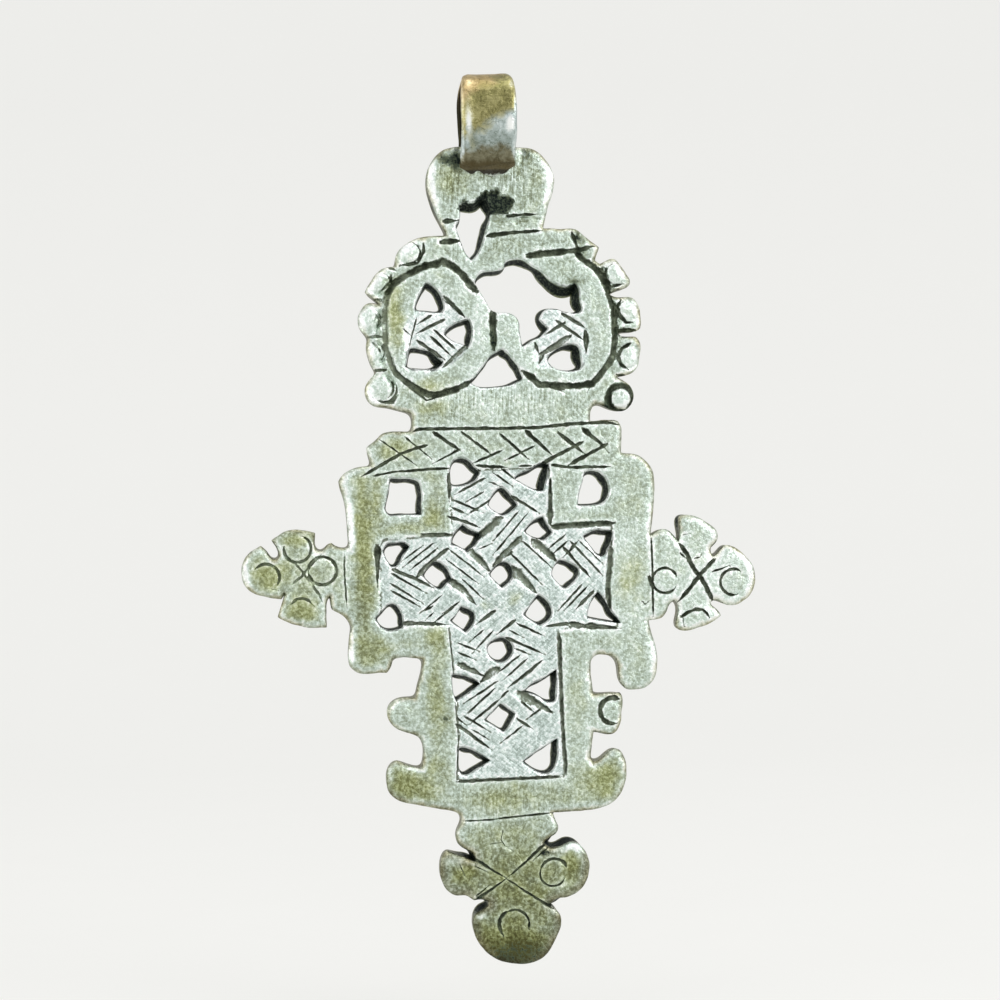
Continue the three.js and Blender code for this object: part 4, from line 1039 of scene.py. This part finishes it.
class Finish(Nodes):
    """A material's nodes. Places and sizes of marks are in millimetres."""

    def __init__(self, name):
        self.material = bpy.data.materials.new(name)
        self.material.use_nodes = True
        super().__init__(self.material.node_tree)
        self.shader = self.tree.nodes["Principled BSDF"]
        place = self.node("TexCoord").outputs["Object"]
        self.place = self.node("VectorMath", {0: place, "Scale": 1 / MM}, operation="SCALE").outputs[0]

    def axis(self, name):
        return self.node("SeparateXYZ", {0: self.place}).outputs[name]

    def turned(self, degrees, stretch):
        """The place, turned about Y and scaled by stretch, for marks that run one way."""
        inputs = {"Vector": self.place, "Rotation": (0, math.radians(degrees), 0), "Scale": stretch}
        return self.node("Mapping", inputs, vector_type="TEXTURE").outputs["Vector"]

    def noise(self, scale, detail=3.0, roughness=0.55, distortion=0.0, vector=None):
        return self.node("TexNoise", {
            "Vector": vector or self.place, "Scale": scale, "Detail": detail, "Roughness": roughness,
            "Distortion": distortion,
        }).outputs["Fac"]

    def mask(self, name):
        return self.node("Attribute", attribute_name=name).outputs["Fac"]

    def tones(self, value, *stops):
        """A colour for each value, between stops of (place, red, green, blue)."""
        node = self.node("ValToRGB", {"Fac": value})
        elements = node.color_ramp.elements
        while len(elements) < len(stops):
            elements.new(0.5)
        for element, (place, *colour) in zip(elements, stops):
            element.position = place
            element.color = linear(*colour)
        return node.outputs["Color"]

    def streaks(self, degrees, stretch):
        """Soft streaks that run one way, 0 to 1."""
        return self.ramp(self.noise(1.0, 3, 0.6, vector=self.turned(degrees, stretch)), 0.3, 0.7)

    def scratches(self, degrees, threshold):
        """Thin straight marks that run one way, 0 to 1."""
        lines = self.noise(1.0, 1.0, 0.4, vector=self.turned(degrees, (4.5, 1.0, 0.075)))
        return self.ramp(lines, threshold, threshold + 0.06)

    def creases(self, scale, width):
        """Thin winding marks, 0 to 1."""
        off = self.math("ABSOLUTE", self.minus(self.noise(scale, 2.0, 0.6, 0.5), 0.5))
        return self.ramp(off, width, 0.0)

    def bump(self, height, strength, distance):
        bump = self.node("Bump", {"Height": height, "Strength": strength, "Distance": distance * MM})
        self.set(self.shader.inputs["Normal"], bump.outputs["Normal"])

    def done(self, inputs):
        """The material, once the shader has its inputs."""
        for name, value in inputs.items():
            self.set(self.shader.inputs[name], value)
        return self.material


def cast_white_metal():
    """Pale worn alloy: green-grey bars with olive stain, whiter woven straps, dark lines and rubbed edges,
    with painted shade and painted highlights.
    """
    f = Finish("cast_white_metal")
    mottle = f.ramp(f.noise(0.8, 3, 0.55), 0.34, 0.66)
    pitting = f.ramp(f.noise(3.3, 2, 0.55, 0.2), 0.36, 0.72)
    grain = f.ramp(f.noise(7.0, 1, 0.5), 0.3, 0.7)
    brushed = f.streaks(4, (0.17, 1.0, 2.4))
    patchy = f.noise(0.5, 4, 0.65)
    creased = f.math("MAXIMUM", f.creases(1.3, 0.022), f.times(f.creases(2.6, 0.026), 0.7))
    cut_dirt_and_shade, edge, rim_stain_and_shade, shoulder_highlight, olive, woven, dirt_and_shade, highlight_and_wear, border, brush = (f.mask(name) for name in MASKS)

    stain = f.blend((olive, 0.9), (mottle, 0.14), (patchy, 0.9), (border, -0.3), (woven, -0.2), (edge, -0.4))
    stain = f.ramp(stain, 0.4, 1.3)
    # Paler where the edge, shoulder and highlight masks are: painted highlights with some wear; darker with
    # the dirt mask: dirt and painted shade.
    tone = f.blend((mottle, 0.12), (pitting, 0.34), (grain, 0.1), (edge, 0.4), (shoulder_highlight, 0.32),
                   (border, 0.04), (highlight_and_wear, 0.27), (woven, 0.1), (stain, -0.1), (dirt_and_shade, -0.45), (1.0, 0.29))
    rising, falling = f.streaks(-40, (2.2, 1.0, 0.16)), f.streaks(38, (2.2, 1.0, 0.16))
    across = f.minus(f.blend((rising, 0.5), (falling, 0.5)), 0.5)
    tone = f.plus(tone, f.times(across, f.blend((woven, 0.42), (1.0, 0.03))))
    streaks = f.times(f.minus(brushed, 0.5), f.blend((brush, 0.42), (1.0, 0.04)))
    tone = f.minus(f.plus(tone, streaks), f.times(creased, 0.1))
    for degrees in (9, 55, -37, 97):
        tone = f.plus(tone, f.times(f.scratches(degrees, 0.68), 0.18))
    for degrees in (24, -66):
        tone = f.minus(tone, f.times(f.scratches(degrees, 0.7), 0.2))
    pale = f.tones(tone, (0.0, 88, 94, 74), (0.25, 136, 145, 123), (0.5, 184, 198, 184),
                   (0.72, 214, 228, 219), (0.98, 249, 253, 251))
    cool = f.tones(tone, (0.0, 74, 84, 74), (0.25, 130, 142, 134), (0.5, 181, 196, 189),
                   (0.72, 216, 229, 225), (0.98, 250, 253, 252))
    stained = f.tones(tone, (0.0, 78, 78, 46), (0.25, 123, 128, 83), (0.5, 167, 175, 129),
                      (0.72, 201, 208, 170), (0.98, 240, 243, 226))
    # The bevel's colours: tarnish darkened as painted shade.
    bevel_stain_and_shade = f.tones(tone, (0.0, 46, 40, 26), (0.3, 98, 92, 62), (0.6, 150, 144, 108), (0.95, 206, 202, 172))
    base = f.mix(stain, f.mix(woven, pale, cool), stained)
    base = f.mix(f.times(rim_stain_and_shade, 0.8), base, bevel_stain_and_shade)
    uneven = f.times(f.minus(f.blend((grain, 0.4), (pitting, 0.6)), 0.5), 0.6)
    line = f.plus(cut_dirt_and_shade, f.times(uneven, 0.45))
    dirt_and_shade_film = f.plus(dirt_and_shade, uneven)
    # Dark lines and film: dirt in the cuts, hollows and pits, with painted shade on the cuts' shaded sides, at
    # the woven field's step, in the hollows and on the walls.
    for dirt, low, high, strength, colour in (
            (line, 0.25, 0.5, 0.9, (96, 104, 84)), (line, 0.55, 1.0, 0.95, (42, 48, 36)),
            (dirt_and_shade_film, 0.42, 0.75, 0.8, (74, 86, 70)), (dirt_and_shade_film, 0.7, 1.0, 0.97, (14, 26, 25))):
        base = f.mix(f.times(f.ramp(dirt, low, high), strength), base, linear(*colour))

    dull = f.math("MAXIMUM", f.times(f.ramp(line, 0.5, 0.95), 0.6), f.times(f.ramp(dirt_and_shade_film, 0.6, 0.95), 0.9))
    height = f.blend((mottle, 0.8), (pitting, 0.6), (grain, 0.14), (streaks, 0.6), (creased, -0.25),
                     (across, 0.3))
    f.bump(height, 0.7, 0.06)
    return f.done({
        "Base Color": base, "Specular IOR Level": METAL_SPECULAR, "Metallic": f.minus(1.0, dull),
        "Roughness": f.plus(f.blend((pitting, 0.12), (dull, 0.3), (edge, -0.05)), 0.34),
    })


def strap_white_metal():
    """The same alloy, brassy over the loop's top and silver lower down, with painted highlights, brown towards
    the legs' ends, and painted shade at the ends and on the inner faces.
    """
    f = Finish("strap_white_metal")
    sideways, height = f.axis("X"), f.axis("Z")
    mottle = f.ramp(f.noise(1.0, 4, 0.62, 0.6), 0.3, 0.7)
    grain = f.ramp(f.noise(2.6, 3, 0.6, 0.3), 0.3, 0.7)
    speck = f.ramp(f.noise(9.0, 2, 0.6), 0.28, 0.72)
    highlight_and_wear, inside = f.mask("highlight_and_wear"), f.mask("inside")
    tone = f.blend((mottle, 0.2), (grain, 0.1), (speck, 0.05), (highlight_and_wear, 0.55), (1.0, 0.18))
    tone = f.minus(tone, f.times(f.creases(1.1, 0.02), 0.2))
    tone = f.plus(tone, f.times(f.scratches(4, 0.67), 0.12))
    brass = f.tones(tone, (0, 96, 82, 48), (0.3, 162, 142, 98), (0.6, 206, 186, 142), (0.95, 246, 238, 204))
    olive = f.tones(tone, (0, 78, 76, 46), (0.3, 132, 128, 82), (0.6, 180, 174, 124), (0.95, 238, 238, 212))
    silver = f.tones(tone, (0, 78, 86, 78), (0.3, 132, 144, 136), (0.6, 190, 202, 200), (0.95, 250, 252, 250))
    brown = f.tones(tone, (0, 50, 44, 26), (0.3, 96, 88, 60), (0.6, 140, 133, 100), (0.95, 196, 194, 168))
    uneven = f.blend((height, 1.0), (sideways, -0.65), (f.noise(0.55, 3), 2.4), (mottle, 0.6), (1.0, -1.5))
    base = f.mix(f.ramp(uneven, 1.4, 3.6), olive, brass)
    base = f.mix(f.ramp(f.blend((uneven, 1.0), (highlight_and_wear, -2.4)), -1.2, -3.0), base, silver)
    # Browner towards the legs' ends, partly painted shade where the strap turns down, and darkest at the very
    # ends: painted shade.
    brown_and_shade_level = f.blend((uneven, 1.0), (sideways, 0.7), (highlight_and_wear, 2.0))
    base = f.mix(f.ramp(brown_and_shade_level, -3.1, -4.4, 0.0, 0.85), base, brown)
    end_shade = f.ramp(f.blend((height, 1.0), (mottle, 0.3)), -4.5, -5.3, 0.0, 0.8)
    base = f.mix(end_shade, base, linear(76, 66, 42))
    f.bump(f.blend((mottle, 0.8), (grain, 0.4), (speck, 0.12)), 0.55, 0.07)
    # Inner faces near black: painted shade with some dirt.
    return f.done({
        "Base Color": f.mix(f.times(inside, 0.93), base, linear(22, 21, 17)),
        "Specular IOR Level": METAL_SPECULAR, "Metallic": f.minus(1.0, f.times(inside, 0.6)),
        "Roughness": f.blend((mottle, 0.12), (grain, 0.08), (inside, 0.3), (1.0, 0.27)),
    })


def grey_solder():
    """Dull grey solder with darker pits, and painted shade in dark brown where it meets the strap's end."""
    f = Finish("grey_solder")
    height = f.axis("Z")
    mottle = f.ramp(f.noise(1.9, 4, 0.65), 0.3, 0.7)
    grain = f.ramp(f.noise(6.0, 3, 0.7), 0.3, 0.7)
    tone = f.blend((mottle, 0.5), (grain, 0.5))
    base = f.tones(tone, (0.1, 84, 92, 80), (0.32, 160, 168, 156), (0.6, 200, 208, 198), (0.9, 238, 243, 238))
    level = f.blend((height, 1.0), (mottle, 0.3), (f.noise(0.8, 2), 0.5))
    # Dark brown just below the strap's end: painted shade.
    shade_under_strap_end = f.mix(f.ramp(height, -5.75, -6.05), linear(90, 80, 52), linear(40, 34, 22))
    f.bump(tone, 0.7, 0.09)
    return f.done({
        "Base Color": f.mix(f.ramp(level, -6.1, -5.9, 0.0, 0.95), base, shade_under_strap_end),
        "Specular IOR Level": METAL_SPECULAR, "Metallic": 0.9,
        "Roughness": f.blend((grain, 0.2), (1.0, 0.38)),
    })


def pale_paper():
    """Matt near-white paper, which looks a little lighter to the eye and in reflections than its lighting."""
    f = Finish("pale_paper")
    return f.done({
        "Base Color": f.mix(f.noise(0.05, 4, 0.6), linear(126, 126, 125), linear(122, 122, 121)),
        "Roughness": 0.9,
        "Emission Color": (1, 1, 0.97, 1),
        "Emission Strength": f.times(f.seen(), PAPER_GLOW),
    })


def add(piece, material, node):
    """Gives a piece its finish and lets it stand for its node."""
    piece.data.materials.append(material)
    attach(piece, "root")
    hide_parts(node)


def camera():
    """The photograph's view: from a little left of the pendant and a little below, leaning 2 degrees."""
    a, e = math.radians(CAMERA_AZIMUTH), math.radians(CAMERA_ELEVATION)
    back = Vector((math.sin(a) * math.cos(e), -math.cos(a) * math.cos(e), math.sin(e)))
    turn = (-back).to_track_quat("-Z", "Y").to_matrix() @ Matrix.Rotation(-math.radians(CAMERA_LEAN), 3, "Z")
    data = bpy.data.cameras.new("camera")
    data.sensor_width = SENSOR_WIDTH
    data.lens = PIXELS_PER_MM * SENSOR_WIDTH * CAMERA_DISTANCE / FRAME_PIXELS
    data.clip_start = 0.01
    data.clip_end = 10
    eye = bpy.data.objects.new("camera", data)
    eye.matrix_world = Matrix.Translation((Vector(AIM) + back * CAMERA_DISTANCE) * MM) @ turn.to_4x4()
    bpy.context.scene.collection.objects.link(eye)
    bpy.context.scene.camera = eye


def lamp(name, place, size, radiance):
    """A square soft lamp that faces the pendant. Radiance is about how bright its face looks."""
    data = bpy.data.lights.new(name, "AREA")
    data.size = size * MM
    data.energy = radiance * math.pi * (size * MM) ** 2
    light = bpy.data.objects.new(name, data)
    turn = (Vector(LAMPS_AIM) - Vector(place)).to_track_quat("-Z", "Y").to_matrix()
    light.matrix_world = Matrix.Translation(Vector(place) * MM) @ turn.to_4x4()
    bpy.context.scene.collection.objects.link(light)


def studio():
    """A pale floor that sweeps up behind the pendant, and soft light round it."""
    floor_z = CAD_BOX[0].z / MM - FLOOR_DROP
    profile = [(-FLOOR_HALF, floor_z), (SWEEP_BACK - SWEEP_RADIUS, floor_z)]
    for i in range(1, SWEEP_STEPS + 1):
        angle = math.pi / 2 * i / SWEEP_STEPS
        profile.append((SWEEP_BACK - SWEEP_RADIUS + SWEEP_RADIUS * math.sin(angle),
                        floor_z + SWEEP_RADIUS * (1 - math.cos(angle))))
    profile.append((SWEEP_BACK, floor_z + FLOOR_HALF))
    vertices = [(x, y, z) for y, z in profile for x in (-FLOOR_HALF, FLOOR_HALF)]
    floor = mesh_object("floor_sweep", vertices, quads(np.arange(len(vertices)).reshape(-1, 2)))
    floor.data.materials.append(pale_paper())
    for row in LAMPS:
        lamp(*row)
    world = bpy.data.worlds.new("studio")
    world.use_nodes = True
    nodes = Nodes(world.node_tree)
    background = world.node_tree.nodes["Background"]
    nodes.set(background.inputs["Color"], (1, 1, 1, 1))
    nodes.set(background.inputs["Strength"], nodes.ramp(nodes.seen(), 0, 1, WORLD_LIGHT, WORLD_SEEN))
    bpy.context.scene.world = world


camera()
studio()
add(cross_plate(), cast_white_metal(), "cross_plate")
add(bail_strap(), strap_white_metal(), "bail_strap")
solder = grey_solder()
add(solder_seam("solder_run_front", -1), solder, "solder_front")
add(solder_seam("solder_run_back", 1), solder, "solder_back")

bpy.context.scene.view_settings.view_transform = "Standard"
